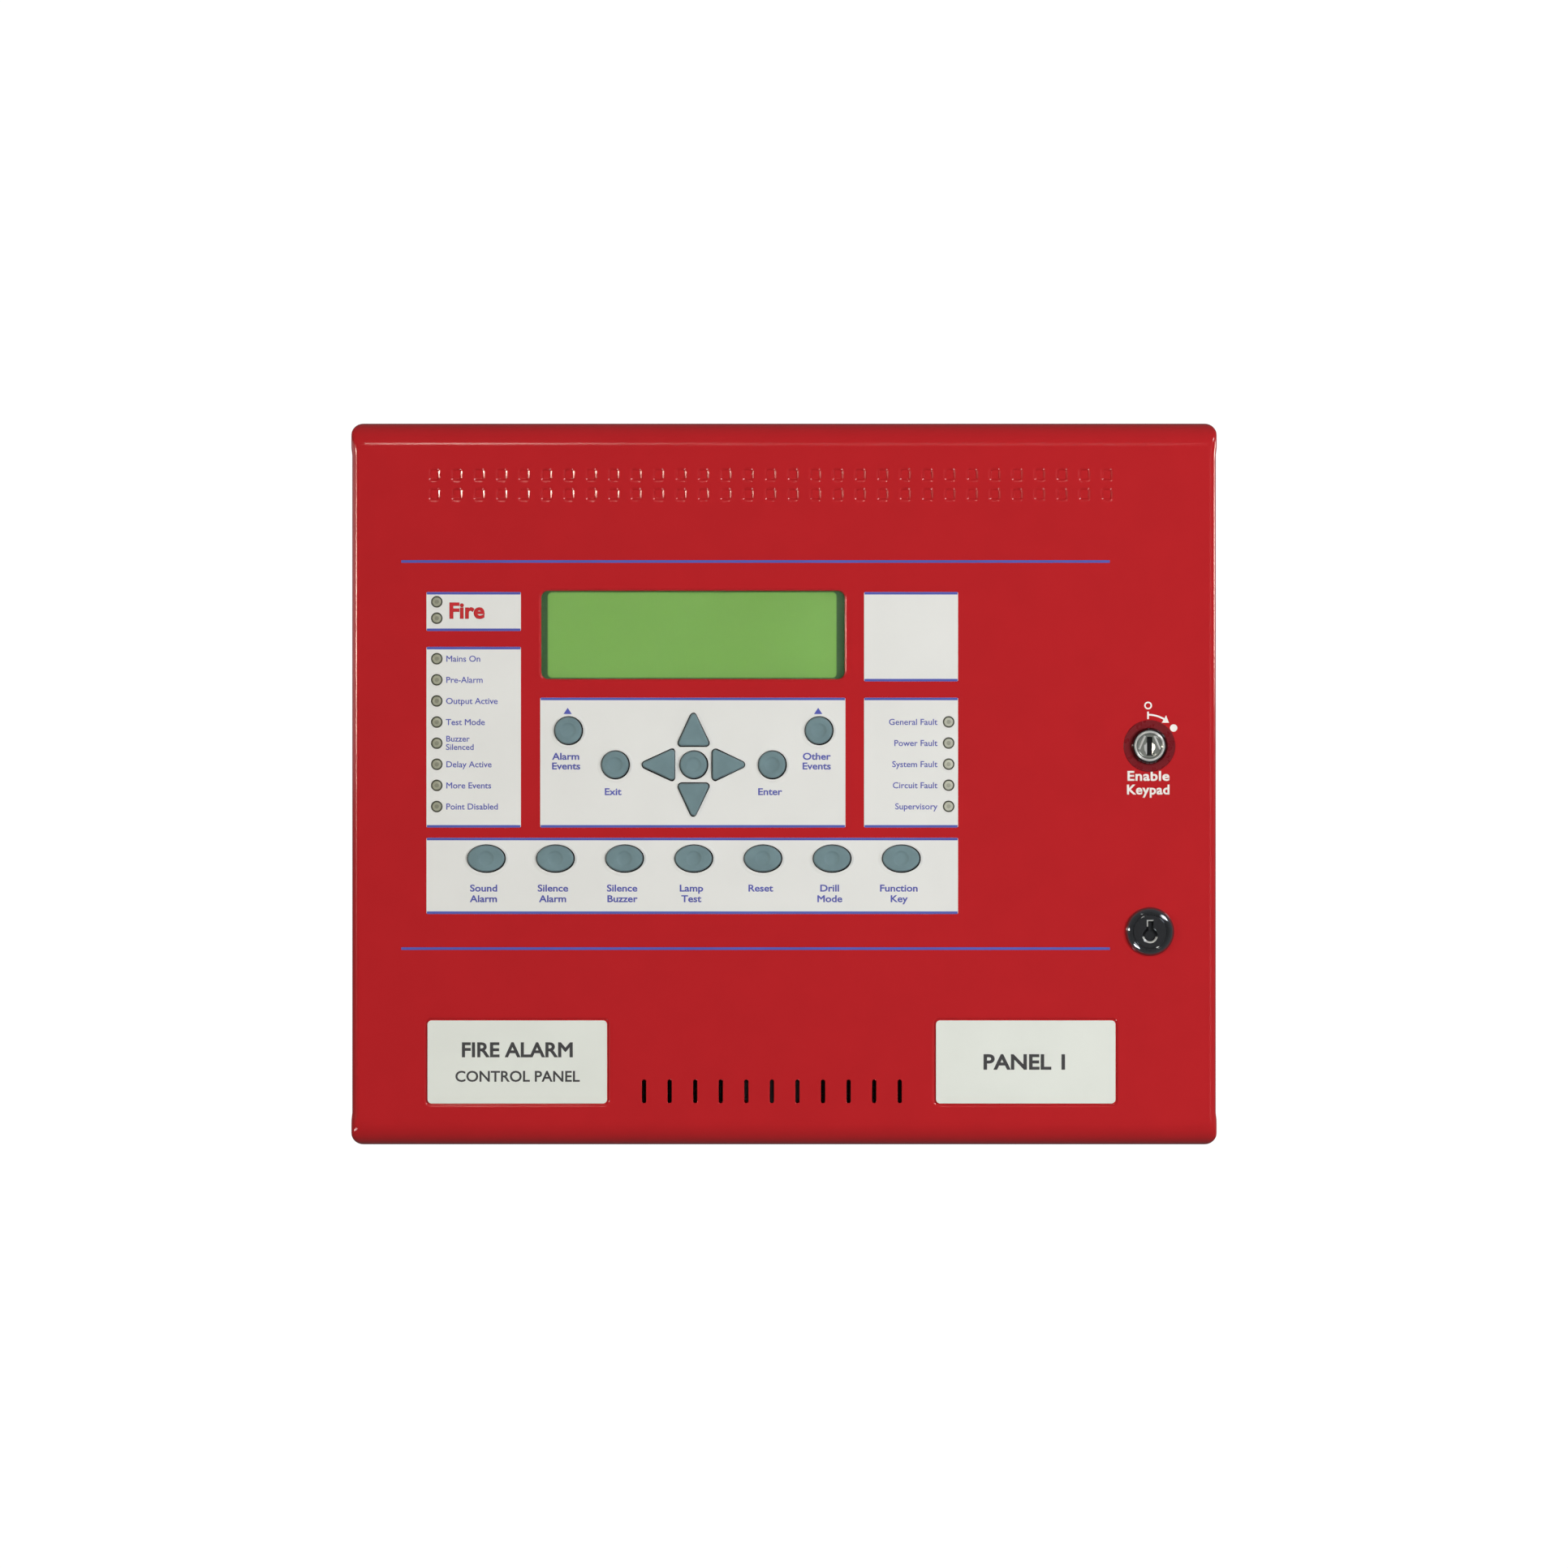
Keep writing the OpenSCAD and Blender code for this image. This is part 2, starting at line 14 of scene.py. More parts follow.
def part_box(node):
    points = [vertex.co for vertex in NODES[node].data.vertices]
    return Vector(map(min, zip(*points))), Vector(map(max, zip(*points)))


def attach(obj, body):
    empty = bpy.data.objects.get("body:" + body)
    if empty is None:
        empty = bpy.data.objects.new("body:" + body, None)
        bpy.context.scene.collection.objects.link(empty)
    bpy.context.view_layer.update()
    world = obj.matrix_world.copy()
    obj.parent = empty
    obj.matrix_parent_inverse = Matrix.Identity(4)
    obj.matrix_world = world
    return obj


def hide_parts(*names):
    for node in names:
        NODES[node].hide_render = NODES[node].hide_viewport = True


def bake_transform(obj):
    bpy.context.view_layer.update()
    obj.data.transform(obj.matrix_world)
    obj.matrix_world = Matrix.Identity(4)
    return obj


MM = 0.001
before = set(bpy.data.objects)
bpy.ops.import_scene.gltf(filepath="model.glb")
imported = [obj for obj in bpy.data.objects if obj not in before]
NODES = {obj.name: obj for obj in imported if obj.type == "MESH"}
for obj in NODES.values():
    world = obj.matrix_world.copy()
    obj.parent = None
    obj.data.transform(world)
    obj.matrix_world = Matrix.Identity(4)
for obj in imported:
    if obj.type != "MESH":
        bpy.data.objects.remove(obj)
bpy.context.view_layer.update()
SCENE = bpy.context.scene


def edges_mm(node):
    """A CAD node's lowest and highest corners in millimetres."""
    low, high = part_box(node)
    return low / MM, high / MM


def centre_mm(node):
    low, high = edges_mm(node)
    return (low + high) / 2


DOOR_LOW, DOOR_HIGH = edges_mm("door_shell")
CASE_LOW, CASE_HIGH = edges_mm("back_box")
FRONT = DOOR_LOW.y
DOOR_BACK = DOOR_HIGH.y
SHEET = 1.5
INNER = FRONT + SHEET
DOOR_W = DOOR_HIGH.x - DOOR_LOW.x
DOOR_H = DOOR_HIGH.z - DOOR_LOW.z
FILM = 0.2
INK = 0.035
GROUP_X = centre_mm("lcd_window").x
VIEW_Z = centre_mm("lcd_window").z
VIEW_W, VIEW_H = 134.8, 39.1
BEND = 9.5
TOP_REACH = 10.6
SIDE = 3.5
LOBE = 0.4
KEY_R = 6.02
OVAL_R = 8.22
OVAL_H = 5.87
KEY_SHIFT = 0.25
LAMP_R = 2.62
GAP = 0.5
ARROW_GAP = 0.64
# The shift leaves the near-black gap ring wider on the lower right, a painted shadow on the side away from
# the light.
SEAT_SHIFT = (0.2, -0.1)   # an opening sits this far to the lower right of its key
IMAGE_SIZE = 1932
MM_PER_PIXEL = 0.3609
CAMERA_DISTANCE_M = 6.0
FLOOR_Z_M = -0.6
STATUS_TEXT_X = -150.4
FAULT_TEXT_X = 68.2
OUTER_KEY_TEXT_Z = 12.3
INNER_KEY_TEXT_Z = -3.4
OVAL_TEXT_Z = -46.3
KEY_TEXT_STEP = 4.3
OVAL_TEXT_STEP = 4.7

# printed fields: left, bottom, right, top
FIELDS = [
    (-159, 68, -117, 85.4), (-159, -19.4, -117, 61), (-108.4, -19.4, 27.3, 38.4),
    (35.6, 45.6, 77.4, 85.4), (35.6, -19.4, 77.4, 38.4), (-159, -57.8, 77.4, -23.9),
]


# ---------------------------------------------------------------- mesh building

class Build:
    """Collects rings of points and the faces between them."""

    def __init__(self):
        self.points = []
        self.faces = []

    def ring(self, points):
        start = len(self.points)
        self.points.extend(points)
        return list(range(start, len(self.points)))

    def bridge(self, a, b, closed=True):
        count = len(a)
        for i in range(count if closed else count - 1):
            j = (i + 1) % count
            self.faces.append((a[i], a[j], b[j], b[i]))

    def loft(self, rings, start=True, end=True):
        """Joins rings with equal counts of points, and closes the ends with a face."""
        made = [self.ring(r) for r in rings]
        for a, b in zip(made, made[1:]):
            self.bridge(a, b)
        if start:
            self.faces.append(tuple(reversed(made[0])))
        if end:
            self.faces.append(tuple(made[-1]))
        return made

    def band(self, rings):
        """Joins rings one to the next and the last to the first."""
        made = [self.ring(r) for r in rings]
        for a, b in zip(made, made[1:] + made[:1]):
            self.bridge(a, b)

    def plate(self, flat, y0, y1):
        """A flat shape of (x, z) points between two depths."""
        self.loft([[(x, y, z) for x, z in flat] for y in (y0, y1)])

    def box(self, low, high):
        (x0, y0, z0), (x1, y1, z1) = low, high
        self.loft([[(x0, y0, z), (x1, y0, z), (x1, y1, z), (x0, y1, z)] for z in (z0, z1)])

    def tube(self, path, radius, sides=12, ends=True):
        """A round bar along a list of points."""
        path = [Vector(p) for p in path]
        side = None
        rings = []
        for i, p in enumerate(path):
            ahead = (path[min(i + 1, len(path) - 1)] - path[max(i - 1, 0)]).normalized()
            if side is None:
                side = ahead.orthogonal().normalized()
            side = (side - ahead * side.dot(ahead)).normalized()
            up = ahead.cross(side)
            rings.append([p + radius * (math.cos(t) * side + math.sin(t) * up)
                          for t in (2 * math.pi * k / sides for k in range(sides))])
        self.loft(rings, ends, ends)

    def revolve(self, profile, at, sides=64, start=True, end=True):
        """Turns (radius, y) points about a line along y through a place on the front."""
        self.loft([[(at[0] + r * math.cos(t), y, at[1] + r * math.sin(t))
                    for t in (2 * math.pi * k / sides for k in range(sides))]
                   for r, y in profile], start, end)

    def mesh(self, name, sharp=35, scale=MM):
        """The mesh in metres, with normals outward and edges over the sharp angle marked."""
        made = bmesh.new()
        points = [made.verts.new(Vector(p) * scale) for p in self.points]
        for f in self.faces:
            try:
                made.faces.new([points[i] for i in f])
            except ValueError:
                continue
        bmesh.ops.recalc_face_normals(made, faces=made.faces)
        mark_sharp(made, sharp)
        mesh = bpy.data.meshes.new(name)
        made.to_mesh(mesh)
        made.free()
        return mesh


def mark_sharp(made, sharp):
    for f in made.faces:
        f.smooth = True
    limit = math.radians(sharp)
    for e in made.edges:
        e.smooth = len(e.link_faces) == 2 and e.calc_face_angle(0) < limit


def rounded(corners, radius, steps=8):
    """Outline that a circle makes rolling round these corner centres, counter-clockwise."""
    if len(corners) == 1:
        count = steps * 8
        return [(corners[0][0] + radius * math.cos(2 * math.pi * i / count),
                 corners[0][1] + radius * math.sin(2 * math.pi * i / count)) for i in range(count)]
    points = []
    for i, (cx, cz) in enumerate(corners):
        px, pz = corners[i - 1]
        nx, nz = corners[(i + 1) % len(corners)]
        a0 = math.atan2(px - cx, cz - pz)
        a1 = math.atan2(cx - nx, nz - cz)
        while a1 <= a0:
            a1 += 2 * math.pi
        for k in range(steps + 1):
            a = a0 + (a1 - a0) * k / steps
            points.append((cx + radius * math.cos(a), cz + radius * math.sin(a)))
    return points


def rectangle(w, h, r):
    return [(-w / 2 + r, -h / 2 + r), (w / 2 - r, -h / 2 + r),
            (w / 2 - r, h / 2 - r), (-w / 2 + r, h / 2 - r)], r


class Outline:
    """A rounded shape on the front: corner centres, radius, place and turn."""

    def __init__(self, corners, radius, at, turn=0, steps=8):
        self.corners, self.radius, self.at, self.turn, self.steps = corners, radius, at, turn, steps

    def ring(self, grow, y, shrink=1):
        """The outline widened by grow, or drawn in towards its own middle, at one depth."""
        c, s = math.cos(self.turn), math.sin(self.turn)
        return [(self.at[0] + shrink * (x * c - z * s), y, self.at[1] + shrink * (x * s + z * c))
                for x, z in rounded(self.corners, self.radius + grow, self.steps)]


class Oval(Outline):
    """An ellipse, widened by the same amount each way."""

    def __init__(self, half_w, half_h, at, count=72):
        self.half_w, self.half_h, self.at, self.count = half_w, half_h, at, count

    def ring(self, grow, y, shrink=1):
        return [(self.at[0] + shrink * (self.half_w + grow) * math.cos(t), y,
                 self.at[1] + shrink * (self.half_h + grow) * math.sin(t))
                for t in (2 * math.pi * k / self.count for k in range(self.count))]


ARROW = [(5.3, -3.85), (0, 7.65), (-5.3, -3.85)]
ARROW_R = 1.4
ARROW_TURN = {"key_up": 0, "key_left": 90, "key_down": 180, "key_right": 270}
ROUND_KEYS = ["key_fire_events", "key_exit", "key_select", "key_enter", "key_more_events"]
OVAL_KEYS = ["key_resound", "key_alarm_silence", "key_sounder_silence", "key_lamp_test",
             "key_reset", "key_fire_drill", "key_programmable"]


def key_outline(node):
    middle = centre_mm(node)
    middle.x += KEY_SHIFT
    if node in ROUND_KEYS:
        return Outline([(0, 0)], KEY_R, (middle.x, middle.z))
    if node in OVAL_KEYS:
        return Oval(OVAL_R, OVAL_H, (middle.x, middle.z))
    turn = math.radians(ARROW_TURN[node])
    off = 1.95  # the arrow's centroid lies this far from the middle of its box
    at = (middle.x + off * math.sin(turn), middle.z - off * math.cos(turn))
    return Outline(ARROW, ARROW_R, at, turn)


KEYS = {n: key_outline(n) for n in ROUND_KEYS + OVAL_KEYS + list(ARROW_TURN)}


def seat(node):
    """The opening a key stands in, and the gap round the key."""
    made = copy.copy(KEYS[node])
    made.at = (made.at[0] + SEAT_SHIFT[0], made.at[1] + SEAT_SHIFT[1])
    return made, ARROW_GAP if node in ARROW_TURN else GAP


def place(name, mesh, material, body, replaces=(), slot=None, weighted=False):
    """Makes a piece from a mesh in the part's frame, and says what it rides on and stands for."""
    piece = bpy.data.objects.new(name, mesh)
    SCENE.collection.objects.link(piece)
    if material is not None:
        mesh.materials.append(material)
    if weighted:
        keep = piece.modifiers.new("even_normals", "WEIGHTED_NORMAL")
        keep.weight = 100
        keep.keep_sharp = True
    if body:
        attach(piece, body)
    if replaces:
        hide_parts(*replaces)
    return piece


def put(build, name, material, body, stands=None, slot=None, sharp=35):
    """Places what was built, standing for a CAD node, which it hides. The slot is passed on but not used.
    """
    return place(name, build.mesh(name, sharp), material, body, [stands] if stands else (),
                 stands or slot)


def carve(mesh, cutter, sharp=32):
    """The mesh with the cutter's shape taken away."""
    a = bpy.data.objects.new("carved", mesh)
    b = bpy.data.objects.new("cutter", cutter)
    for o in (a, b):
        SCENE.collection.objects.link(o)
    cut = a.modifiers.new("cut", "BOOLEAN")
    cut.operation = "DIFFERENCE"
    cut.solver = "EXACT"
    cut.object = b
    bpy.context.view_layer.update()
    result = bpy.data.meshes.new_from_object(a.evaluated_get(bpy.context.evaluated_depsgraph_get()))
    for o in (a, b):
        bpy.data.objects.remove(o)
    made = bmesh.new()
    made.from_mesh(result)
    bmesh.ops.remove_doubles(made, verts=made.verts, dist=1e-7)
    bmesh.ops.dissolve_degenerate(made, dist=1e-7, edges=made.edges)
    mark_sharp(made, sharp)
    made.to_mesh(result)
    made.free()
    result.materials.clear()
    return result


def hole(build, outline, grow, lip, back, front=FRONT):
    """A cutter for a hole through the sheet, with its front edge rounded over."""
    turns = [math.radians(a) for a in (8, 20, 32, 44, 56, 68, 79, 90)]
    rings = [outline.ring(grow + lip * (1 - math.sin(turns[0])), front - 1)]
    rings += [outline.ring(grow + lip * (1 - math.sin(t)), front + lip * (1 - math.cos(t)))
              for t in turns]
    rings.append(outline.ring(grow, back))
    build.loft(rings)


def pocket(build, outline, slopes):
    """A cutter for a shallow pressed recess: slopes of (degrees, width) inward, then a steep wall."""
    reach = sum(width for _, width in slopes)
    rings = [outline.ring(reach + 0.12, FRONT - 1), outline.ring(reach + 0.12, FRONT + 0.002)]
    down = 0.012
    for degrees, width in slopes:
        rings.append(outline.ring(reach, FRONT + down))
        reach -= width
        down += width * math.tan(math.radians(degrees))
    rings += [outline.ring(grow, FRONT + d) for grow, d in (
        (0, down), (-0.1, (down + POCKET_DEPTH) / 2), (-0.2, POCKET_DEPTH - 0.05),
        (-0.35, POCKET_DEPTH - 0.015), (-0.45, POCKET_DEPTH))]
    build.loft(rings)


# ---------------------------------------------------------------- materials

def map_range(tree, source, ends):
    """Maps a value between the first two ends to one between the last two."""
    made = tree.nodes.new("ShaderNodeMapRange")
    for socket, value in zip(("From Min", "From Max", "To Min", "To Max"), ends):
        made.inputs[socket].default_value = value
    tree.links.new(source, made.inputs["Value"])
    return made.outputs["Result"]


def calc(tree, operation, first, second=None):
    """One step of arithmetic; the second value is a socket or a number."""
    made = tree.nodes.new("ShaderNodeMath")
    made.operation = operation
    tree.links.new(first, made.inputs[0])
    if isinstance(second, bpy.types.NodeSocket):
        tree.links.new(second, made.inputs[1])
    elif second is not None:
        made.inputs[1].default_value = second
    return made.outputs[0]


class Material:
    """A node material with small helpers for the detail that varies over a surface."""

    def __init__(self, name, colour, rough, metal=0.0, **sockets):
        self.made = bpy.data.materials.new(name)
        self.made.use_nodes = True
        self.nodes = self.made.node_tree.nodes
        self.links = self.made.node_tree.links
        self.shader = self.nodes["Principled BSDF"]
        self.colour = linear(colour)
        self.rough = rough
        self.place = self.nodes.new("ShaderNodeTexCoord").outputs["Object"]
        self.put("Base Color", self.colour)
        self.put("Roughness", rough)
        self.put("Metallic", metal)
        for key, value in sockets.items():
            self.put(key.replace("_", " "), value)
        self.height = None

    def put(self, socket, value):
        self.shader.inputs[socket].default_value = value

    def noise(self, scale, detail=3.0, stretch=None, rough=0.5):
        """Noise with this many features to a metre."""
        source = self.place
        if stretch:
            mapping = self.nodes.new("ShaderNodeMapping")
            mapping.inputs["Scale"].default_value = stretch
            self.links.new(source, mapping.inputs["Vector"])
            source = mapping.outputs["Vector"]
        made = self.nodes.new("ShaderNodeTexNoise")
        made.inputs["Scale"].default_value = scale
        made.inputs["Detail"].default_value = detail
        made.inputs["Roughness"].default_value = rough
        self.links.new(source, made.inputs["Vector"])
        return made.outputs["Fac"]

    def ramp(self, source, low, high, a=0.35, b=0.65):
        """Maps a value between a and b to one between low and high."""
        return map_range(self.made.node_tree, source, (a, b, low, high))

    def calc(self, operation, first, second=None):
        return calc(self.made.node_tree, operation, first, second)

    def wave(self, direction, scale, source=None):
        """Stripes along an axis."""
        made = self.nodes.new("ShaderNodeTexWave")
        made.bands_direction = direction
        made.inputs["Scale"].default_value = scale
        self.links.new(source or self.place, made.inputs["Vector"])
        return made.outputs["Fac"]

    def mix(self, amount, a, b):
        made = self.nodes.new("ShaderNodeMix")
        made.data_type = "RGBA"
        self.links.new(amount, made.inputs["Factor"])
        for socket, value in ((made.inputs[6], a), (made.inputs[7], b)):
            if isinstance(value, bpy.types.NodeSocket):
                self.links.new(value, socket)
            else:
                socket.default_value = value
        return made.outputs[2]

    def vary(self, scale, amount, detail=3.0, stretch=None):
        """Lets the colour drift a little lighter and darker over the surface."""
        fac = self.ramp(self.noise(scale, detail, stretch), 0, 1)
        dark = tuple(c * (1 - amount) for c in self.colour[:3]) + (1,)
        light = tuple(min(1, c * (1 + amount)) for c in self.colour[:3]) + (1,)
        self.paint(self.mix(fac, dark, light))
        return self

    def paint(self, source):
        self.links.new(source, self.shader.inputs["Base Color"])

    def gloss(self, scale, spread, detail=3.0, stretch=None):
        """Lets the roughness vary by this much about its value."""
        fac = self.noise(scale, detail, stretch)
        self.links.new(self.ramp(fac, self.rough - spread, self.rough + spread),
                       self.shader.inputs["Roughness"])
        return self

    def bump(self, scale, depth, strength=1.0, detail=2.0, stretch=None, source=None):
        """Adds fine relief, depth in millimetres."""
        made = self.nodes.new("ShaderNodeBump")
        made.inputs["Strength"].default_value = strength
        made.inputs["Distance"].default_value = depth * MM
        self.links.new(source or self.noise(scale, detail, stretch), made.inputs["Height"])
        if self.height is not None:
            self.links.new(self.height, made.inputs["Normal"])
        self.height = made.outputs["Normal"]
        self.links.new(self.height, self.shader.inputs["Normal"])
        return self


def linear(colour):
    """A screen colour, 0 to 255, as linear light."""
    def one(c):
        c = c / 255
        return c / 12.92 if c <= 0.04045 else ((c + 0.055) / 1.055) ** 2.4
    return tuple(one(c) for c in colour[:3]) + (1,)


def powder_coat(name, colour):
    made = Material(name, colour, 0.13, Specular_IOR_Level=0.45)
    made.vary(60, 0.015).gloss(300, 0.012, 4).bump(260, 0.006, 0.15).bump(1500, 0.002, 0.35)
    return made.made


def steel(name, colour=(190, 192, 196), rough=0.32, stretch=(1, 1, 1), grain=900):
    made = Material(name, colour, rough, 1.0)
    made.vary(60, 0.08, 4, stretch).gloss(grain, 0.1, 5, stretch).bump(grain, 0.004, 0.4, 3, stretch)
    return made.made


def chrome(name, colour=(222, 224, 228), rough=0.07, metal=1.0):
    made = Material(name, colour, rough, metal)
    made.vary(90, 0.03).gloss(700, 0.03, 5).bump(260, 0.0015, 0.5)
    return made.made


def plastic(name, colour, rough=0.5, grain=1400, depth=0.006, drift=0.05, **sockets):
    made = Material(name, colour, rough, **sockets)
    made.vary(35, drift).gloss(300, 0.06, 4).bump(grain, depth, 0.6)
    return made.made


def silicone(name, colour):
    made = Material(name, colour, 0.55, Specular_IOR_Level=0.35, Sheen_Weight=0.15)
    made.vary(120, 0.07, 4).gloss(260, 0.06, 4).bump(1600, 0.006, 0.7)
    return made.made


def circuit_board(name):
    """Green solder mask over fine copper tracks."""
    made = Material(name, (16, 74, 44), 0.3, Specular_IOR_Level=0.55)
    nodes, links = made.nodes, made.links
    cell = nodes.new("ShaderNodeTexVoronoi")
    cell.distance = "CHEBYCHEV"
    cell.feature = "F1"
    cell.inputs["Scale"].default_value = 85
    links.new(made.place, cell.inputs["Vector"])
    lines = []
    for turn in (0, math.pi / 2):
        mapping = nodes.new("ShaderNodeMapping")
        mapping.inputs["Rotation"].default_value = (0, turn, 0)
        links.new(made.place, mapping.inputs["Vector"])
        lines.append(made.wave("X", 150, mapping.outputs["Vector"]))
    pick = nodes.new("ShaderNodeMix")
    links.new(made.calc("GREATER_THAN", cell.outputs["Color"], 0.5), pick.inputs["Factor"])
    links.new(lines[0], pick.inputs[2])
    links.new(lines[1], pick.inputs[3])
    track = made.ramp(pick.outputs[0], 0, 1, 0.72, 0.8)
    patches = made.ramp(made.noise(22, 2), 0, 1, 0.46, 0.5)
    copper = made.calc("MULTIPLY", track, patches)
    made.paint(made.mix(copper, linear((14, 70, 42)), linear((34, 112, 64))))
    made.bump(0, 0.03, 0.5, source=copper)
    made.gloss(90, 0.05)
    return made.made


RED = powder_coat("red_powder_coat", (180, 35, 40))
FILM_WHITE = plastic("printed_film", (224, 226, 224), 0.42, 2600, 0.004, 0.012)
PLATE_WHITE = plastic("plate_film", (222, 227, 221), 0.36, 1800, 0.003, 0.015)
INK_BLUE = plastic("blue_ink", (78, 86, 172), 0.5, 2200, 0.003, 0.06)
INK_RED = plastic("red_ink", (196, 38, 44), 0.5, 2200, 0.003, 0.06)
INK_WHITE = plastic("white_ink", (238, 236, 232), 0.5, 2200, 0.003, 0.02)
INK_DARK = plastic("dark_ink", (62, 62, 64), 0.5, 2200, 0.003, 0.06)
KEY_RUBBER = silicone("key_rubber", (108, 133, 139))
MAT_RUBBER = silicone("mat_rubber", (70, 86, 90))
# near-black rubber for the rings in the key gaps: painted shade, darker than the keypad mat
GAP_SHADE_RUBBER = silicone("gap_shade_rubber", (14, 17, 18))
ZINC = steel("zinc_plate", (196, 198, 200), 0.34)
HINGE_STEEL = steel("hinge_steel", (176, 178, 182), 0.36, (1, 1, 0.15))
COPPER_FLASH = steel("copper_flash", (196, 140, 108), 0.34)
# darkened copies of chrome for the locks: painted shade standing in for the dark room the plated metal
# reflects
CHROME_SHADED = chrome("chrome_shaded", (132, 136, 142), 0.06, 0.9)
CHROME_DEEP_SHADED = chrome("chrome_deep_shaded", (84, 87, 92), 0.07)
# pale half-metal chrome that looks bright from every side: painted highlight standing in for reflected
# light
CHROME_PAINTED_GLINT = chrome("chrome_painted_glint", (226, 228, 226), 0.2, 0.45)
PLUG_FACE = chrome("plug_face", (150, 155, 150), 0.16, 0.5)
BOARD = circuit_board("circuit_board")
BLACK = plastic("black_plastic", (26, 26, 28), 0.45)
DARK_GREY = plastic("dark_grey_plastic", (44, 45, 48), 0.5)
NYLON = plastic("nylon", (226, 222, 208), 0.4, Subsurface_Weight=0.1)
RELAY_CASE = plastic("relay_case", (214, 214, 208), 0.36)
TERMINAL_GREEN = plastic("terminal_green", (30, 108, 66), 0.42)
FOAM = plastic("foam_rubber", (26, 26, 26), 0.85, 700, 0.09, 0.15)
SCREEN_MESH = plastic("screen_black", (14, 14, 14), 0.55)
BLACK_PAINT = plastic("black_paint", (18, 18, 20), 0.4)
WASHER_RED = plastic("washer_red", (112, 22, 30), 0.3, 900, 0.003, 0.05)


# ---------------------------------------------------------------- door

def door_ring(a, b, r, y_side, y_top, lobe):
    """One ring of the door's skin; the side and top bends meet in a ground corner."""
    points = []
    for sx, sz in ((1, 1), (-1, 1), (-1, -1), (1, -1)):
        corner = []
        for k in range(9):
            f = math.pi / 2 * k / 8
            share = (1 - math.cos(2 * f)) / 2
            corner.append((sx * (a - r + r * math.cos(f)), y_side + (y_top - y_side) * share,
                           sz * (b - r + r * math.sin(f))))
        run = [(sx * a, y_side, sz * (b - r - d)) for d in (9, 6, 4, 2.6, 1.4)]
        corner = run + corner
        if sx * sz < 0:
            corner.reverse()
        points.extend(corner)
    step = DOOR_H / 2 - 14
    shaped = []
    for x, y, z in points:
        t = min(1, max(0, (abs(z) - step) / 3.5))
        draw_in = lobe * (1 - t * t * (3 - 2 * t))
        shaped.append((x - math.copysign(draw_in, x) if abs(x) > a - r else x, y, z))
    return shaped


def top_bend(t):
    """How far the top bend reaches out and back at this turn."""
    return TOP_REACH * math.sin(t), BEND * (1 - math.cos(t))


def door_skin():
    w, h = DOOR_W / 2, DOOR_H / 2
    turns = [math.radians(a) for a in (0, 3, 6, 9, 12, 18, 24, 32, 40, 48, 56, 65, 74, 82, 90)]

    def bent(t, under, r):
        out, back = top_bend(t)
        s, c = math.sin(t), math.cos(t)
        return door_ring(w - SIDE + (SIDE - under) * s, h - TOP_REACH + out - under * s, r,
                         FRONT + SIDE * (1 - c) + under * c, FRONT + back + under * c, LOBE * s)

    rings = [bent(t, 0, 3 + 2.2 * math.sin(t)) for t in turns]
    rings.append(door_ring(w, h, 5.2, DOOR_BACK, DOOR_BACK, LOBE))
    rings.append(door_ring(w - SHEET, h - SHEET, 3.7, DOOR_BACK, DOOR_BACK, LOBE))
    rings += [bent(t, SHEET, 3 + 0.7 * math.sin(t)) for t in reversed(turns)]
    skin = Build()
    skin.loft(rings)
    return skin.mesh("door_skin")


POCKETS = [(-155.5 + i * 9.97, z) for i in range(31) for z in (137.6, 128.9)]
POCKET_DEPTH = 0.8
POCKET_SLOPES = [(10, 0.45), (26.1, 0.6)]
PLATE_SLOPES = [(10, 0.45), (26.1, 0.35)]
PLATES = [(-118.6, -123.6), (107.5, -123.6)]
PLATE_SIZE = (79.8, 36.9)
LAMP_PITCH = 9.39
LAMPS = {
    "fire_leds": [(-154.4, 81), (-154.4, 73.7)],
    "status_leds": [(-154.4, 55.7 - LAMP_PITCH * i) for i in range(8)],
    "trouble_leds": [(73.2, 27.6 - LAMP_PITCH * i) for i in range(5)],
}
LAMP_PLACES = [at for lamps in LAMPS.values() for at in lamps]
KEYSWITCH = (centre_mm("keyswitch_plug").x, centre_mm("keyswitch_plug").z)
CAMLOCK = (centre_mm("camlock_body").x, centre_mm("camlock_body").z)


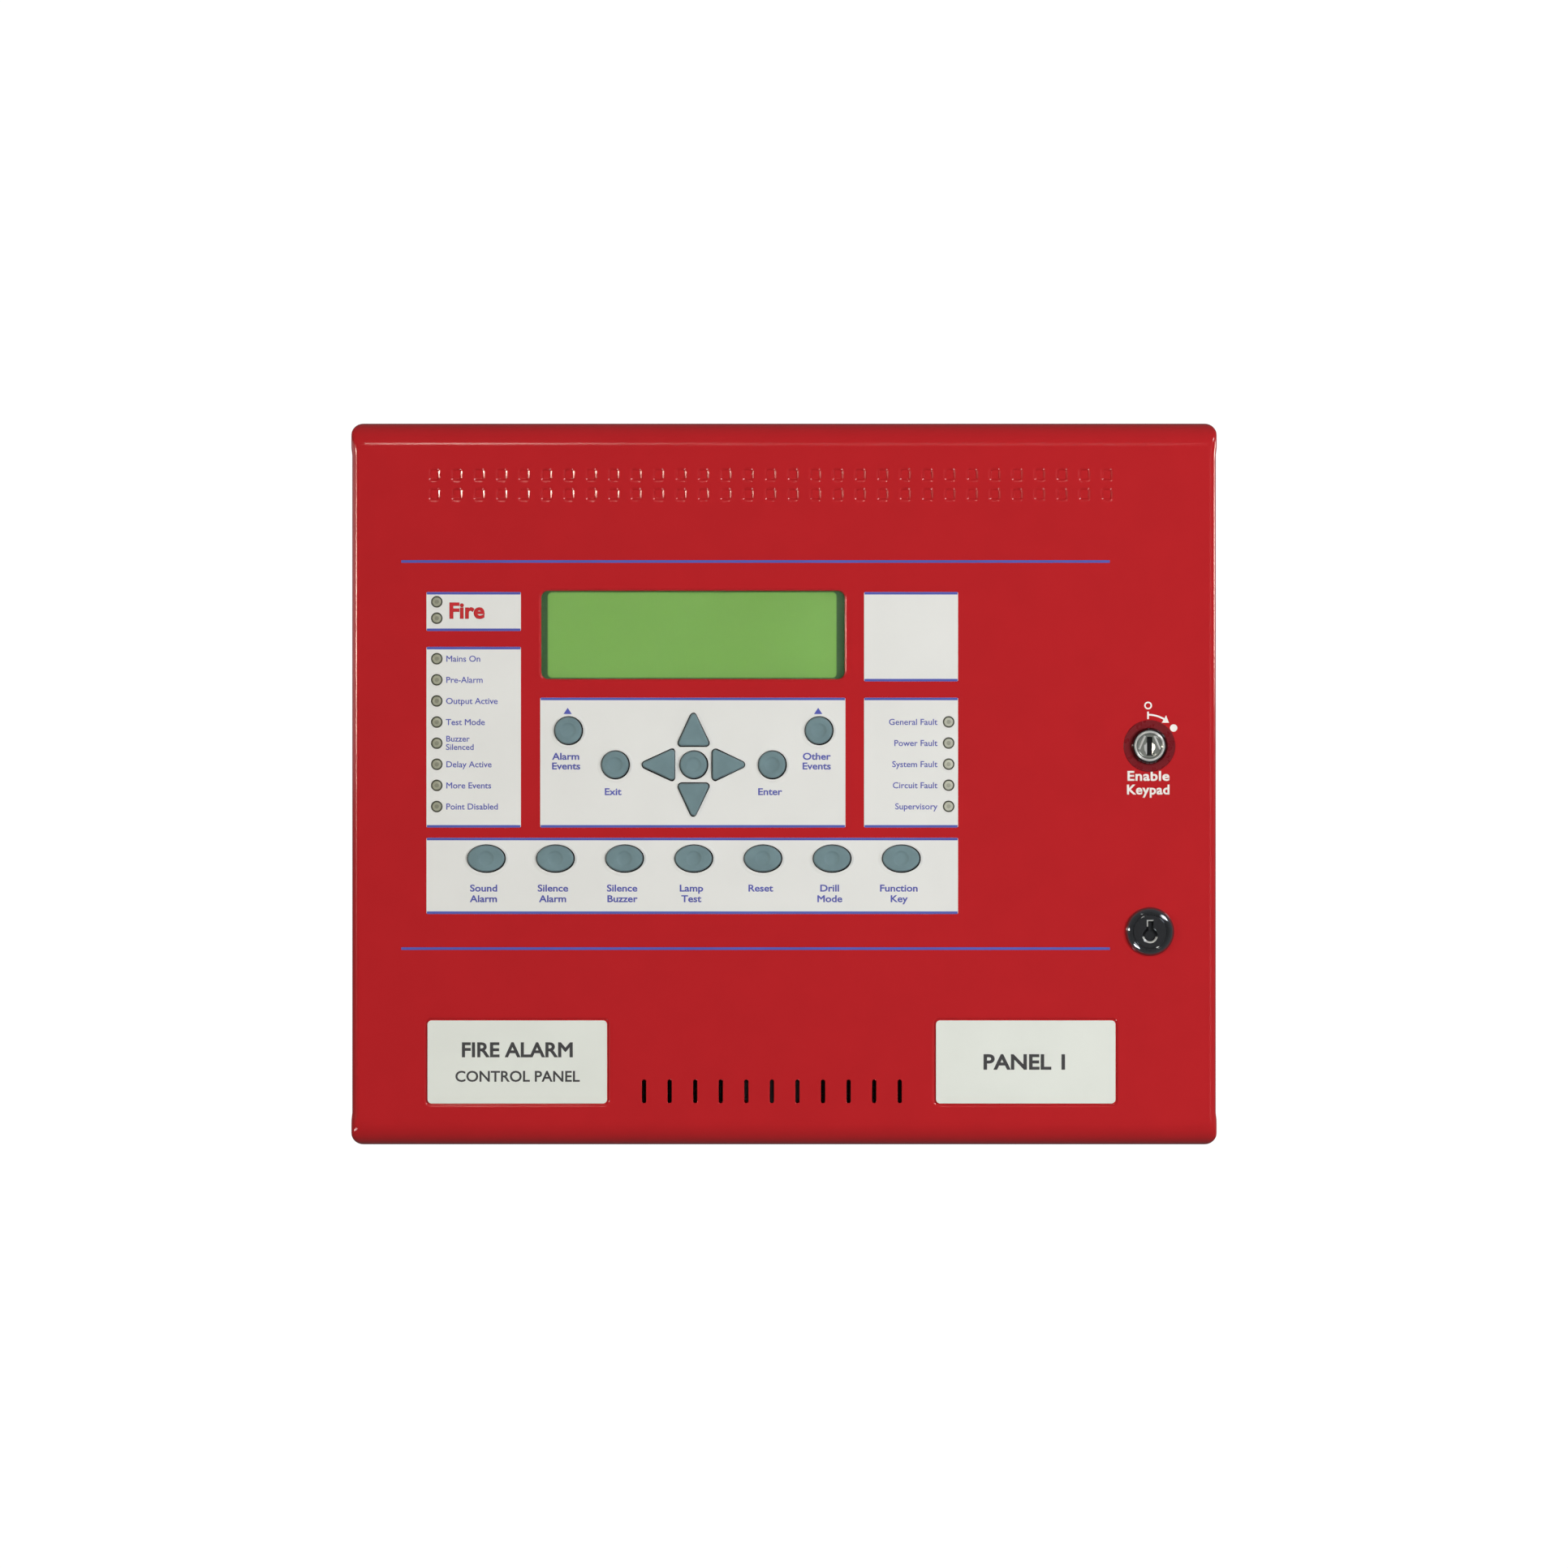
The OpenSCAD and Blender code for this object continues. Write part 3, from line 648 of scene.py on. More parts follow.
def build_door():
    cut = Build()
    for node in KEYS:
        outline, gap = seat(node)
        hole(cut, outline, gap, 0.12, INNER + 1)
    for at in LAMP_PLACES:
        hole(cut, Outline([(0, 0)], LAMP_R, at, steps=5), 0, 0.1, INNER + 1)
    hole(cut, Outline(*rectangle(VIEW_W, VIEW_H, 3), (GROUP_X, VIEW_Z)), 0, 1.2, INNER + 1)
    for i in range(-5, 6):
        slot = Outline([(0, -4.35), (0, 4.35)], 0.9, (-5.4 + 11.37 * i, -136.7))
        hole(cut, slot, 0, 0.3, INNER + 1)
    hole(cut, Outline([(0, 0)], 7, KEYSWITCH), 0, 0.12, INNER + 1)
    hole(cut, Outline([(0, 0)], 9.5, CAMLOCK), 0, 0.12, INNER + 1)
    for at in POCKETS:
        pocket(cut, Outline(*rectangle(3.7, 4.4, 0.7), at, steps=4), POCKET_SLOPES)
    for at in PLATES:
        outline = Outline(*rectangle(PLATE_SIZE[0] + 1.6, PLATE_SIZE[1] + 1.6, 2.2), at)
        pocket(cut, outline, PLATE_SLOPES)
    mesh = carve(door_skin(), cut.mesh("door_cuts"), 15)
    place("door_front", mesh, RED, "door", ["door_shell"], "door_shell", weighted=True)

    pressed = Build()
    for at in POCKETS:
        outline = Outline(*rectangle(4.6, 5.3, 1), at, steps=4)
        pressed.loft([outline.ring(0.3, INNER - 0.2), outline.ring(0.3, INNER + 0.3),
                      outline.ring(0.1, INNER + 0.7), outline.ring(-0.2, INNER + 0.8)])
    put(pressed, "door_pocket_backs", RED, "door", slot="door_shell")


def rule(build, x0, x1, z0, z1, y):
    build.loft([Outline(*rectangle(x1 - x0, z1 - z0, 0.15), ((x0 + x1) / 2, (z0 + z1) / 2),
                        steps=2).ring(0, d) for d in (y - INK, y + 0.02)])


def build_rules():
    lines = Build()
    for x0, z0, x1, z1 in FIELDS:
        rule(lines, x0 + 0.2, x1 - 0.2, z1 - 1.15, z1 - 0.02, FRONT - FILM)
        rule(lines, x0 + 0.2, x1 - 0.2, z0 + 0.02, z0 + 1.15, FRONT - FILM)
    for z in (98.95, -73.2):
        rule(lines, -170.2, 144.9, z - 0.6, z + 0.6, FRONT)
    put(lines, "blue_rules", INK_BLUE, "door", slot="front_fields")


def build_rims():
    """The film is pressed up in a low ridge round each key."""
    rims = Build()
    close = set(ARROW_TURN) | {"key_select"}
    film = FRONT - FILM
    for node in KEYS:
        outline, gap = seat(node)
        w = 0.36 if node in close else 0.78
        section = [(-0.02, -0.05), (-0.02, 0.03), (0.4 * w, 0.05), (0.7 * w, 0.17 * w),
                   (0.95 * w, 0.19 * w), (1.3 * w, 0.13 * w), (1.8 * w, 0.04 * w), (2.2 * w, -0.02)]
        rims.band([outline.ring(gap + grow, film - up) for grow, up in section])
    section = [(2.58, -0.05), (2.58, 0.03), (2.7, 0.07), (2.95, 0.08), (3.3, 0.04), (3.5, -0.02)]
    for x, z in LAMP_PLACES:
        rims.band([[(x + r * math.cos(t), film - up, z + r * math.sin(t))
                    for t in (math.pi * k / 20 for k in range(40))] for r, up in section])
    put(rims, "key_rims", FILM_WHITE, "door", slot="front_fields", sharp=60)

    # A near-black ring fills the gap round each key: painted shade standing in for the shadow down the gap.
    gap_shade_rings = Build()
    for node, key in KEYS.items():
        outline, gap = seat(node)
        gap_shade_rings.band([key.ring(0.02, film + 0.12), outline.ring(gap + 0.04, film + 0.12),
                   outline.ring(gap + 0.04, film + 0.6), key.ring(0.02, film + 0.6)])
    put(gap_shade_rings, "key_gap_shade", GAP_SHADE_RUBBER, "door", slot="front_fields", sharp=60)


# ---------------------------------------------------------------- legends

class Legends:
    """Lettering gathered into one thin mesh of ink."""

    def __init__(self, name, material, y, slot):
        self.name, self.material, self.y, self.slot = name, material, y, slot
        self.meshes = []

    def write(self, words, x, z, cap, align="LEFT", wide=1.0, weight=0.05, apart=1.0):
        """One line, its capitals cap high and centred on z, its strokes thickened by weight."""
        curve = bpy.data.curves.new("letters", "FONT")
        curve.body = words
        curve.align_x = align
        curve.space_character = apart
        curve.size = cap / 0.682
        curve.resolution_u = 4
        curve.bevel_depth = weight
        curve.bevel_resolution = 0
        letters = bpy.data.objects.new("letters", curve)
        SCENE.collection.objects.link(letters)
        bpy.context.view_layer.update()
        mesh = bpy.data.meshes.new_from_object(
            letters.evaluated_get(bpy.context.evaluated_depsgraph_get()))
        bpy.data.objects.remove(letters)
        thin = INK / (2 * weight)
        stand = Matrix(((wide, 0, 0, x), (0, 0, -thin, self.y - 0.25 * INK), (0, 1, 0, z - cap / 2),
                        (0, 0, 0, 1)))
        mesh.transform(Matrix.Scale(MM, 4) @ stand)
        self.meshes.append(mesh)

    def finish(self):
        whole = bmesh.new()
        for m in self.meshes:
            whole.from_mesh(m)
        bmesh.ops.remove_doubles(whole, verts=whole.verts, dist=1e-8)
        bmesh.ops.recalc_face_normals(whole, faces=whole.faces)
        mesh = bpy.data.meshes.new(self.name)
        whole.to_mesh(mesh)
        whole.free()
        mesh.materials.clear()
        place(self.name, mesh, self.material, "door", slot=self.slot)


def build_legends():
    blue = Legends("blue_legends", INK_BLUE, FRONT - FILM, "front_fields")
    status = ["Mains On", "Pre-Alarm", "Output Active", "Test Mode", None, "Delay Active",
              "More Events", "Point Disabled"]
    for words, (_, z) in zip(status, LAMPS["status_leds"]):
        if words:
            blue.write(words, STATUS_TEXT_X, z, 2.6, wide=1.04)
    z = LAMPS["status_leds"][4][1]
    for words, up in (("Buzzer", 2.0), ("Silenced", -1.7)):
        blue.write(words, STATUS_TEXT_X, z + up, 2.5, wide=1.04)
    faults = ["General Fault", "Power Fault", "System Fault", "Circuit Fault", "Supervisory"]
    for words, (_, z) in zip(faults, LAMPS["trouble_leds"]):
        blue.write(words, FAULT_TEXT_X, z, 2.6, "RIGHT", wide=1.04)
    for node, lines, z in (("key_fire_events", ["Alarm", "Events"], OUTER_KEY_TEXT_Z),
                           ("key_exit", ["Exit"], INNER_KEY_TEXT_Z),
                           ("key_enter", ["Enter"], INNER_KEY_TEXT_Z),
                           ("key_more_events", ["Other", "Events"], OUTER_KEY_TEXT_Z)):
        for i, words in enumerate(lines):
            blue.write(words, KEYS[node].at[0] - 1, z - KEY_TEXT_STEP * i, 2.9,
                       "CENTER", 1.15, 0.1)
    ovals = [["Sound", "Alarm"], ["Silence", "Alarm"], ["Silence", "Buzzer"], ["Lamp", "Test"],
             ["Reset"], ["Drill", "Mode"], ["Function", "Key"]]
    for node, lines in zip(OVAL_KEYS, ovals):
        for i, words in enumerate(lines):
            blue.write(words, KEYS[node].at[0] - 1, OVAL_TEXT_Z - OVAL_TEXT_STEP * i, 2.9,
                       "CENTER", 1.15, 0.1)
    blue.finish()

    markers = Build()
    for node in ("key_fire_events", "key_more_events"):
        x = KEYS[node].at[0] - KEY_SHIFT
        flat = [(x - 1.85, 31.1), (x + 1.85, 31.1), (x, 33.9)]
        markers.plate(flat, FRONT - FILM - 0.16, FRONT - FILM + 0.02)
    put(markers, "blue_markers", INK_BLUE, "door", slot="front_fields")

    red = Legends("red_legend", INK_RED, FRONT - FILM, "front_fields")
    red.write("Fire", -149.2, 77.1, 6.6, wide=1.06, weight=0.36)
    red.finish()

    white = Legends("white_legend", INK_WHITE, FRONT, "door_shell")
    white.write("Enable", KEYSWITCH[0] - 0.6, 3.6, 4.1, "CENTER", 1.14, 0.2, 1.06)
    white.write("Keypad", KEYSWITCH[0] - 0.6, -2.5, 4.1, "CENTER", 1.02, 0.2, 1.06)
    white.finish()

    plates = Legends("plate_legends", INK_DARK, FRONT - FILM, "name_plates")
    plates.write("FIRE ALARM", PLATES[0][0], PLATES[0][1] + 5.4, 6.2, "CENTER", 1.04, 0.24)
    plates.write("CONTROL PANEL", PLATES[0][0], PLATES[0][1] - 6.4, 4.6, "CENTER", 1.02, 0.12)
    plates.write("PANEL 1", PLATES[1][0], PLATES[1][1], 6.4, "CENTER", 1.1, 0.26)
    plates.finish()


# ---------------------------------------------------------------- keys and lamps

def toward_circle(ring, at, radius, y):
    """The points of a ring moved straight in or out to a circle about a place."""
    moved = []
    for x, _, z in ring:
        reach = math.hypot(x - at[0], z - at[1])
        moved.append((at[0] + (x - at[0]) / reach * radius, y, at[1] + (z - at[1]) / reach * radius))
    return moved


def build_keys():
    for node, outline in KEYS.items():
        low, high = edges_mm(node)
        face = low.y
        back = high.y
        lip = 0.8
        turns = [math.radians(a) for a in (0, 18, 36, 54, 72, 84)]
        rings = [outline.ring(-0.4, back - 1.2, 0.55), outline.ring(0.7, INNER + 1.1),
                 outline.ring(0.7, INNER + 0.1), outline.ring(0, INNER + 0.1),
                 outline.ring(-0.05, face + lip)]
        rings += [outline.ring(-0.05 - lip * (1 - math.cos(t)), face + lip * (1 - math.sin(t)))
                  for t in turns[1:]]
        rim = rings[-1]
        if node in ARROW_TURN:
            rings += [outline.ring(-0.8, face + d, s)
                      for s, d in ((0.93, 0.02), (0.8, 0.08), (0.6, 0.14), (0.35, 0.18), (0.05, 0.2))]
        else:
            rings += [toward_circle(rim, outline.at, 3.3 * s, face + d)
                      for s, d in ((1.08, 0.01), (1, 0.06), (0.93, 0.19), (0.84, 0.33), (0.72, 0.44),
                                   (0.5, 0.52), (0.25, 0.55), (0.06, 0.56))]
        build = Build()
        build.loft(rings)
        put(build, node.replace("key_", "cap_"), KEY_RUBBER, node, node)


def lamp_material(name, colour):
    """A tinted unlit lens."""
    made = Material(name, colour, 0.22, Coat_Weight=0.6, Coat_Roughness=0.08)
    made.vary(260, 0.1)
    return made.made


def build_lamps():
    rim = plastic("lamp_rim", (66, 69, 57), 0.4)
    for node, lamps in LAMPS.items():
        tint = (158, 161, 142) if node != "trouble_leds" else (184, 187, 172)
        lens, ring, core = Build(), Build(), Build()
        for at in lamps:
            lens.revolve([(1.98, FRONT + 5.4), (2.0, FRONT - 0.26), (1.84, FRONT - 0.42),
                          (1.5, FRONT - 0.56), (1.1, FRONT - 0.64), (0.2, FRONT - 0.66)], at, 40)
            ring.revolve([(2.8, FRONT + 6), (2.5, FRONT + 5), (2.5, FRONT - 0.1), (2.42, FRONT - 0.28),
                          (2.22, FRONT - 0.32), (2.02, FRONT - 0.24), (2.02, FRONT + 0.6)],
                         at, 40, end=False)
            core.revolve([(0.98, FRONT - 0.6), (0.94, FRONT - 0.7), (0.7, FRONT - 0.71),
                          (0.1, FRONT - 0.66)], at, 32)
        put(lens, node + "_lens", lamp_material(node + "_lens", tint), "door", node)
        put(ring, node + "_rim", rim, "door", slot=node)
        shade = tuple(round(c * 0.86) for c in tint)
        put(core, node + "_cup", lamp_material(node + "_cup", shade), "door", slot=node)


# ---------------------------------------------------------------- display

def build_display():
    """The lit screen, darkened along its border by painted shadow of the window's edge, behind a clear
    window.
    """
    made = Material("lit_screen", (116, 160, 74), 0.3)
    nodes, links = made.nodes, made.links
    split = nodes.new("ShaderNodeSeparateXYZ")
    links.new(made.place, split.inputs[0])

    corner = 2.0
    squares = []
    for axis, middle, half in (("X", GROUP_X - 0.36, 64.3), ("Z", VIEW_Z, VIEW_H / 2 - 0.45)):
        offset = made.calc("ABSOLUTE", made.calc("SUBTRACT", split.outputs[axis], middle * MM))
        past = made.calc("MAXIMUM", made.calc("SUBTRACT", offset, (half - corner) * MM), 0)
        squares.append(made.calc("MULTIPLY", past, past))
    beyond = made.calc("SQRT", made.calc("ADD", *squares))
    lit = made.ramp(beyond, 1, 0, (corner - 0.35) * MM, (corner + 0.2) * MM)
    dot_pitch = 0.53
    per_metre = 2 * math.pi / 20 / (dot_pitch * MM)
    grid = made.calc("MULTIPLY", made.wave("X", per_metre), made.wave("Z", per_metre))
    cell = made.mix(made.ramp(grid, 0, 1, 0, 1), linear((112, 152, 72)), linear((120, 162, 76)))
    drift = made.mix(made.ramp(made.noise(14, 2), 0, 0.35, 0.3, 0.7), cell, linear((124, 170, 84)))
    # the dark green band round the edge is painted shadow cast by the window's edge
    colour = made.mix(lit, linear((46, 78, 42)), drift)
    made.paint(colour)
    links.new(colour, made.shader.inputs["Emission Color"])
    made.put("Emission Strength", 0.5)
    repaint("lcd_glass", made.made)

    window = Build()
    low, high = edges_mm("lcd_window")
    outline = Outline(*rectangle(high.x - low.x, high.z - low.z, 2), (GROUP_X, VIEW_Z))
    window.loft([outline.ring(-0.15, low.y), outline.ring(0, low.y + 0.15),
                 outline.ring(0, high.y - 0.15), outline.ring(-0.15, high.y)])
    clear = Material("clear_window", (244, 250, 246), 0.04, Transmission_Weight=1.0, IOR=1.45)
    clear.gloss(40, 0.02)
    put(window, "display_window", clear.made, "door", "lcd_window")


def repaint(node, material, bevel=0):
    """Gives a CAD node its finish, with its hard edges eased if asked."""
    piece = NODES[node]
    piece.data.materials.clear()
    piece.data.materials.append(material)
    if bevel:
        flat = piece.modifiers.new("join_flats", "DECIMATE")
        flat.decimate_type = "DISSOLVE"
        flat.angle_limit = math.radians(1)
        ease = piece.modifiers.new("ease_edges", "BEVEL")
        ease.width = bevel * MM
        ease.segments = 2
        ease.limit_method = "ANGLE"
        ease.angle_limit = math.radians(40)
        ease.harden_normals = True
    return piece


# ---------------------------------------------------------------- locks

def hexagon(build, middle, radius, turn, levels):
    """A six-sided nut; levels are (share of the radius, y)."""
    angles = [math.radians(60 * k + turn) for k in range(6)]
    build.loft([[(middle[0] + radius * s * math.cos(a), y, middle[1] + radius * s * math.sin(a))
                 for a in angles] for s, y in levels])


def build_keyswitch():
    x, z = KEYSWITCH
    low = edges_mm("keyswitch_nuts")[0]
    face = low.y
    washer = Build()
    washer.revolve([(11.5, FRONT), (11.5, FRONT - 0.25), (11.3, FRONT - 0.4), (7.2, FRONT - 0.4),
                    (7.0, FRONT)], KEYSWITCH, 96, end=False, start=False)
    put(washer, "keyswitch_disc", WASHER_RED, "door", "keyswitch_washer")

    nut = Build()
    rim = 8.1
    nut.revolve([(7.1, FRONT - 0.4), (rim, FRONT - 0.4), (rim, face + 1.5), (rim - 0.12, face + 1.1),
                 (rim - 0.4, face + 0.75), (rim - 0.6, face + 0.4), (rim - 0.75, face + 0.1),
                 (rim - 0.9, face), (rim - 1.05, face + 0.1), (6.95, face + 0.4), (6.92, face + 1.0)],
                KEYSWITCH, 96, end=False, start=False)
    put(nut, "keyswitch_dress_nut", CHROME_DEEP_SHADED, "door", "keyswitch_nuts")
    back = Build()
    hexagon(back, KEYSWITCH, 19 / math.sqrt(3), 30,
            ((0.94, INNER), (1, INNER + 0.4), (1, INNER + 2.6), (0.94, INNER + 3)))
    put(back, "keyswitch_back_nut", ZINC, "door", slot="keyswitch_nuts")

    # the barrel's bright ring comes from its pale finish, a painted highlight
    body = Build()
    body.revolve([(5.75, face + 2.2), (5.7, face + 0.7), (5.78, face + 0.45), (5.95, face + 0.27),
                  (6.2, face + 0.2), (6.5, face + 0.24), (6.75, face + 0.42), (6.88, face + 0.7),
                  (6.88, FRONT + 20), (5.7, FRONT + 20)],
                 KEYSWITCH, 96, end=False, start=False)
    put(body, "keyswitch_barrel", CHROME_PAINTED_GLINT, "door", "keyswitch_body")

    plug_low, plug_high = edges_mm("keyswitch_plug")
    plug = Build()
    depth = plug_low.y + 0.7
    plug.revolve([(5.6, plug_high.y), (5.6, plug_low.y + 0.35), (5.52, plug_low.y + 0.1),
                  (5.42, plug_low.y), (5.32, plug_low.y + 0.06), (5.24, plug_low.y + 0.3),
                  (5.16, depth - 0.08), (5.0, depth), (1.0, depth)], KEYSWITCH, 96)
    cut = Build()
    half = [(1.3, -4.3), (1.8, -3.6), (2.2, -2.8), (2.5, -1.7), (2.66, -0.6), (2.6, 0.35),
            (2.2, 1.05), (1.7, 1.5), (1.25, 1.8), (1.25, 4.1)]
    mouth = half + [(-px, pz) for px, pz in reversed(half)]
    keyway = [(math.copysign(1.1, px), max(-4, min(4, pz))) for px, pz in mouth]
    cut.loft([[(x + px, y, z + pz) for px, pz in flat]
              for flat, y in ((mouth, depth - 1), (mouth, depth + 0.02), (keyway, depth + 1.3),
                              (keyway, depth + 8.5))])
    place("keyswitch_face", carve(plug.mesh("keyswitch_face"), cut.mesh("keyswitch_cut")), PLUG_FACE,
          "keyswitch_plug", ["keyswitch_plug"], "keyswitch_plug")
    wards = Build()
    wards.box((x - 1.06, depth + 1.5, z - 3.96), (x + 1.06, depth + 3.6, z + 3.96))
    wards.box((x - 0.35, depth + 1.0, z - 3.9), (x + 0.1, depth + 1.6, z + 3.9))
    put(wards, "keyswitch_wards", BLACK, "keyswitch_plug", slot="keyswitch_plug")
    # bright slanted bars and flanks in the keyway, given the pale finish as painted highlights
    inside = Build()
    for side in (-1, 1):
        foot, head = Vector((side * 4.7, 0, -1.5)), Vector((side * 2.1, 0, 4.5))
        along = (head - foot).normalized()
        across = Vector((along.z, 0, -along.x))
        rows = []
        for reach, up in ((-0.5, 0.05), (-0.36, -0.2), (0, -0.32), (0.36, -0.2), (0.5, 0.05)):
            ends = [p + across * reach + Vector((x, depth + up, z)) for p in (foot, head)]
            rows.append(ends)
        inside.loft([[row[k] for row in rows] for k in (0, 1)])
        flank = [(1.15, -4.0, 1.1), (1.55, -3.5, 0.85), (1.95, -2.7, 0.55), (2.25, -1.7, 0.38),
                 (2.42, -0.6, 0.3), (2.35, 0.25, 0.32), (2.05, 0.85, 0.5), (1.6, 1.25, 0.8),
                 (1.15, 1.5, 1.1)]
        inside.loft([[(x + side * px, depth + d + t, z + pz) for px, pz, d in flank]
                     for t in (-0.12, 0.5)])
    put(inside, "keyswitch_glint_ribs", CHROME_PAINTED_GLINT, "keyswitch_plug", slot="keyswitch_plug")


def arc_strip(build, middle, radius, width, start, end, y, steps=16):
    """A flat curved stroke; angles run clockwise from straight up, in degrees."""
    inside, outside = [], []
    for k in range(steps + 1):
        a = math.radians(start + (end - start) * k / steps)
        for line, r in ((inside, radius - width / 2), (outside, radius + width / 2)):
            line.append((middle[0] + r * math.sin(a), middle[1] + r * math.cos(a)))
    build.plate(outside + inside[::-1], y - INK, y + 0.02)


def build_symbols():
    """White marks over the keyswitch: an open ring, a tick, an arrow and a filled dot."""
    x, z = KEYSWITCH
    marks = Build()
    top = 18.0
    for k in range(2):
        arc_strip(marks, (x - 0.6, z + top), 1.4, 0.65, 180 * k, 180 * k + 180, FRONT)
    rule(marks, x - 1.0, x - 0.25, z + 11.9, z + 15.3, FRONT)
    reach = 13.9
    arc_strip(marks, (x - 0.6, z), reach, 0.75, 1.5, 31, FRONT)
    a = math.radians(30.5)
    tip = math.radians(42)
    point = [(reach + 1.9, a), (reach, tip), (reach - 1.9, a)]
    flat = [(x - 0.6 + r * math.sin(t), z + r * math.cos(t)) for r, t in point]
    marks.plate(flat, FRONT - INK, FRONT + 0.02)
    t = math.radians(54)
    dot = Outline([(0, 0)], 1.65, (x + 13.3 * math.sin(t), z + 13.6 * math.cos(t)), steps=4)
    tick = Outline([(0.75, -0.75), (-0.75, 0.75)], 0.22, (x + 8.7, z + 7.0), steps=3)
    for shape in (dot, tick):
        marks.loft([shape.ring(0, d) for d in (FRONT - INK, FRONT + 0.02)])
    put(marks, "white_marks", INK_WHITE, "door", slot="door_shell")


def build_camlock():
    x, z = CAMLOCK
    low, high = edges_mm("camlock_body")
    face = low.y
    r = (high.x - low.x) / 2
    head = Build()
    head.revolve([(7.55, face + 3), (7.47, face + 0.65), (7.6, face + 0.42), (7.9, face + 0.35),
                  (8.1, face + 0.35), (8.2, face + 0.24), (8.3, face + 0.07), (8.42, face + 0.01),
                  (8.55, face), (8.7, face + 0.04), (9.35, face + 0.35), (9.6, face + 0.52),
                  (10.1, face + 1.0), (r - 0.5, face + 1.45), (r - 0.2, face + 1.9), (r - 0.05, face + 2.4),
                  (r, face + 2.9), (r, FRONT - 0.25), (r - 0.15, FRONT), (9.4, FRONT),
                  (9.4, FRONT + 15.5), (7.5, FRONT + 15.5)],
                 CAMLOCK, 128, end=False, start=False)
    put(head, "camlock_head", CHROME_SHADED, "door", "camlock_body", sharp=28)

    face = edges_mm("camlock_plug")[0].y
    plug = Build()
    plug.revolve([(7.4, FRONT + 15.6), (7.4, face + 0.2), (7.3, face + 0.05), (7.1, face),
                  (3.6, face), (1.0, face)], CAMLOCK, 96)
    cut = Build()
    slot = Outline([(-1.2, -1), (1.2, -1), (1.2, 4.9), (-1.2, 4.9)], 0.3, CAMLOCK)
    bowl = Outline([(0, -1.8)], 3.4, CAMLOCK)
    hole(cut, slot, 0, 0.25, face + 8, front=face)
    carved = carve(plug.mesh("camlock_plug"), cut.mesh("camlock_slot"))
    cut = Build()
    hole(cut, bowl, 0, 0.25, face + 4.5, front=face)
    carved = carve(carved, cut.mesh("camlock_bowl"))
    place("camlock_face", carved, CHROME_SHADED, "camlock_plug", ["camlock_plug"], "camlock_plug")

    inside = Build()
    inside.revolve([(2.4, face + 4.4), (2.4, face + 3.2), (2.1, face + 2.9), (0.9, face + 2.8)],
                   (x, z - 1.8), 32)
    inside.box((x - 0.7, face + 2.4, z + 0.5), (x + 0.7, face + 7.9, z + 4.4))
    put(inside, "camlock_core", CHROME_SHADED, "camlock_plug", slot="camlock_plug")
    # Pale strokes in the keyway, an arc round the lower bowl and strips left of and above the slot, are
    # painted highlights where its edges catch light.
    keyway_glints = Build()
    arc = [math.radians(a) for a in range(188, 353, 6)]
    keyway_glints.loft([[(x + q * math.cos(t), face + d, z - 1.8 + q * math.sin(t))
                  for q, d in ((3.35, 0.3), (3.35, 1.6), (2.5, 1.6), (2.55, 1.1), (2.9, 0.45),
                               (3.15, 0.3))]
                 for t in arc])
    keyway_glints.box((x - 1.45, face + 0.35, z + 2.2), (x - 0.95, face + 1.6, z + 5.15))
    keyway_glints.box((x - 0.95, face + 0.35, z + 4.7), (x + 1.45, face + 1.6, z + 5.15))
    put(keyway_glints, "camlock_keyway_glints", CHROME_PAINTED_GLINT, "camlock_plug", slot="camlock_plug")

    cam = Build()
    start = FRONT + 15.6
    flat = [(-6, -6), (6, -6), (6, 12), (4, 14.5), (4, 18.2), (3.4, 18.8), (-3.4, 18.8), (-4, 18.2),
            (-4, 14.5), (-6, 12)]
    cam.loft([[(x + px * s, y, z + 5 + (pz - 5) * s) for px, pz in flat]
              for s, y in ((0.985, start), (1, start + 0.2), (1, start + 1.8), (0.985, start + 2))])
    hexagon(cam, CAMLOCK, 5.77, 0,
            ((0.96, start + 2), (1, start + 2.4), (1, start + 4.5), (0.93, start + 5)))
    put(cam, "camlock_cam", ZINC, "camlock_plug", slot="camlock_plug")


# ---------------------------------------------------------------- case

def case_ring(inset, r, y):
    w, h = CASE_HIGH.x - CASE_LOW.x, CASE_HIGH.z - CASE_LOW.z
    return Outline(*rectangle(w - 2 * inset, h - 2 * inset, r), (0, 0), steps=6).ring(0, y)


